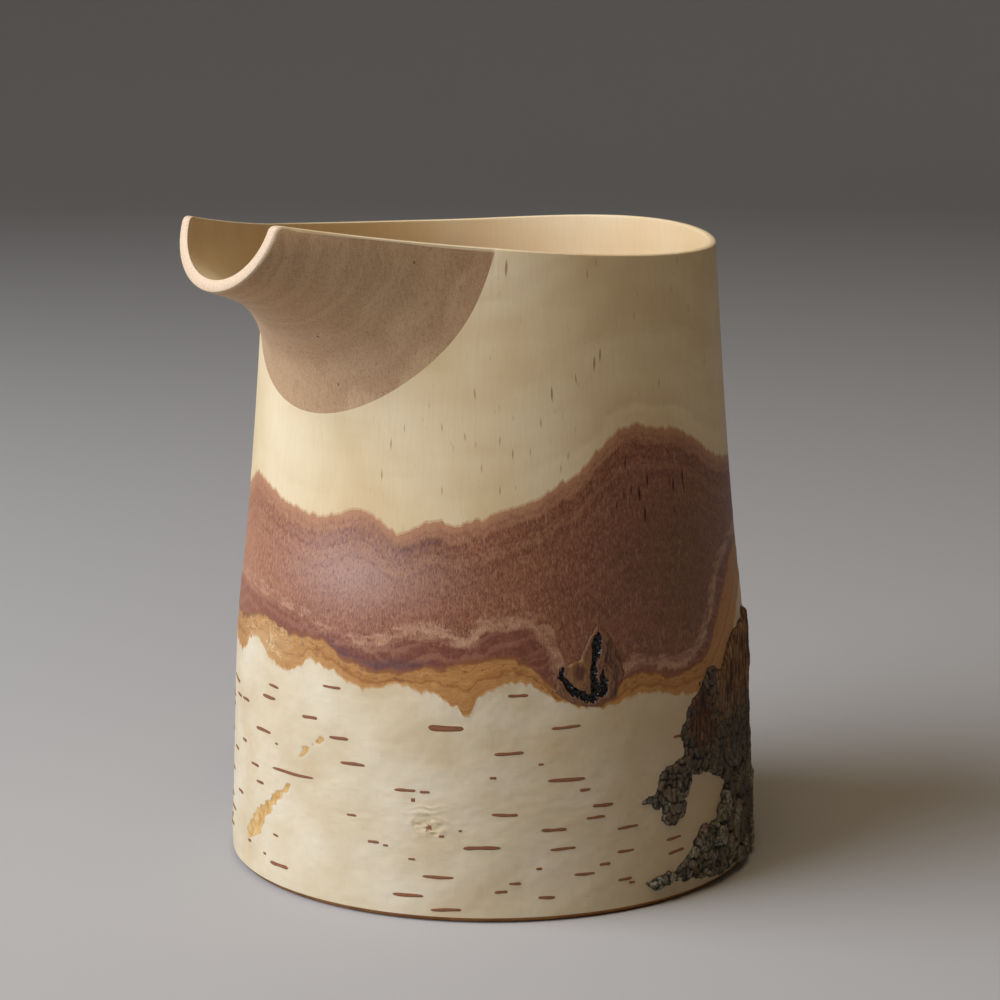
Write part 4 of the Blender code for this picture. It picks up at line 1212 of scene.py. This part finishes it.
def camera():
    """Camera at the height and turn from which the jug is shown."""
    data = bpy.data.cameras.new("studio_camera")
    data.lens, data.sensor_width, data.clip_end = LENS, SENSOR, 200
    obj = bpy.data.objects.new("studio_camera", data)
    bpy.context.scene.collection.objects.link(obj)
    angle = math.radians(CAMERA_AZIMUTH)
    x, y = AXIS[0] + CAMERA_DISTANCE * math.sin(angle), AXIS[1] - CAMERA_DISTANCE * math.cos(angle)
    obj.location = (x * MM, y * MM, CAMERA_HEIGHT * MM)
    obj.rotation_euler = (math.radians(90 - CAMERA_PITCH), 0, math.radians(CAMERA_AZIMUTH - CAMERA_YAW))
    bpy.context.scene.camera = obj


def area_light(name, azimuth, elevation, distance, size, watts, colour):
    """Soft light that faces the jug's middle, placed as the camera is: azimuth, elevation and metres away."""
    data = bpy.data.lights.new(name, "AREA")
    data.shape, data.size, data.energy, data.color = "DISK", size, watts, linear(colour)[:3]
    obj = bpy.data.objects.new(name, data)
    bpy.context.scene.collection.objects.link(obj)
    a, e = math.radians(azimuth), math.radians(elevation)
    flat = distance * math.cos(e)
    obj.location = (flat * math.sin(a), -flat * math.cos(a), JUG_MIDDLE + distance * math.sin(e))
    obj.rotation_euler = (math.radians(90) - e, 0, a)


def studio():
    """Pale cove round the jug, a broad soft key from the left, weak warm lights from the right and above."""
    floor, bend = 2.0, 1.5
    angles = np.linspace(0, math.pi / 2, 13)[1:]
    profile = [(0, 0), (1.0, 0), (floor, 0)]
    profile += [(floor + bend * math.sin(a), bend * (1 - math.cos(a))) for a in angles]
    profile += [(floor + bend, 4.0)]
    angle = np.linspace(0, 2 * math.pi, 97)[None, :-1]
    radius, height = np.array(profile).T[:, :, None]
    ring = np.stack(np.broadcast_arrays(radius * np.cos(angle), radius * np.sin(angle), height), axis=-1)
    points = ring.reshape(-1, 3)[95:]
    points[0] = 0
    rows = len(profile) - 1
    faces = quads(rows, 96, 1, close_columns=True)
    hub = [(0, 1 + k, 1 + (k + 1) % 96) for k in range(96)]
    mesh = bpy.data.meshes.new("cove")
    mesh.from_pydata(points.tolist(), [], hub + faces[:, ::-1].tolist())
    mesh.shade_smooth()
    cove = bpy.data.objects.new("cove", mesh)
    bpy.context.scene.collection.objects.link(cove)
    paper = Finish("pale matt paper", 0.9, 0.2)
    paper.shader["Base Color"].default_value = linear("#ABA9A5")
    mesh.materials.append(paper.material)
    area_light("key_softbox", CAMERA_AZIMUTH - 71, 37, 1.5, 1.5, 38, "#E9F0FF")
    area_light("fill_softbox", CAMERA_AZIMUTH + 55, 25, 1.6, 1.2, 0.3, "#FFD39C")
    area_light("top_softbox", CAMERA_AZIMUTH, 77, 1.5, 0.8, 6.5, "#FFE6C4")
    world = bpy.context.scene.world or bpy.data.worlds.new("room")
    bpy.context.scene.world = world
    world.use_nodes = True
    background = world.node_tree.nodes["Background"]
    background.inputs["Color"].default_value = linear("#FFE2BC")
    background.inputs["Strength"].default_value = 0.08
    bpy.context.scene.view_settings.view_transform = "Standard"


camera()
studio()
wood = sapwood()
jug_wall(wood)
bottom_board()
inner_bark()
cork_layer()
white_bark()
branch_knot()
rough_bark()
lenticels()
pith_flecks(wood)
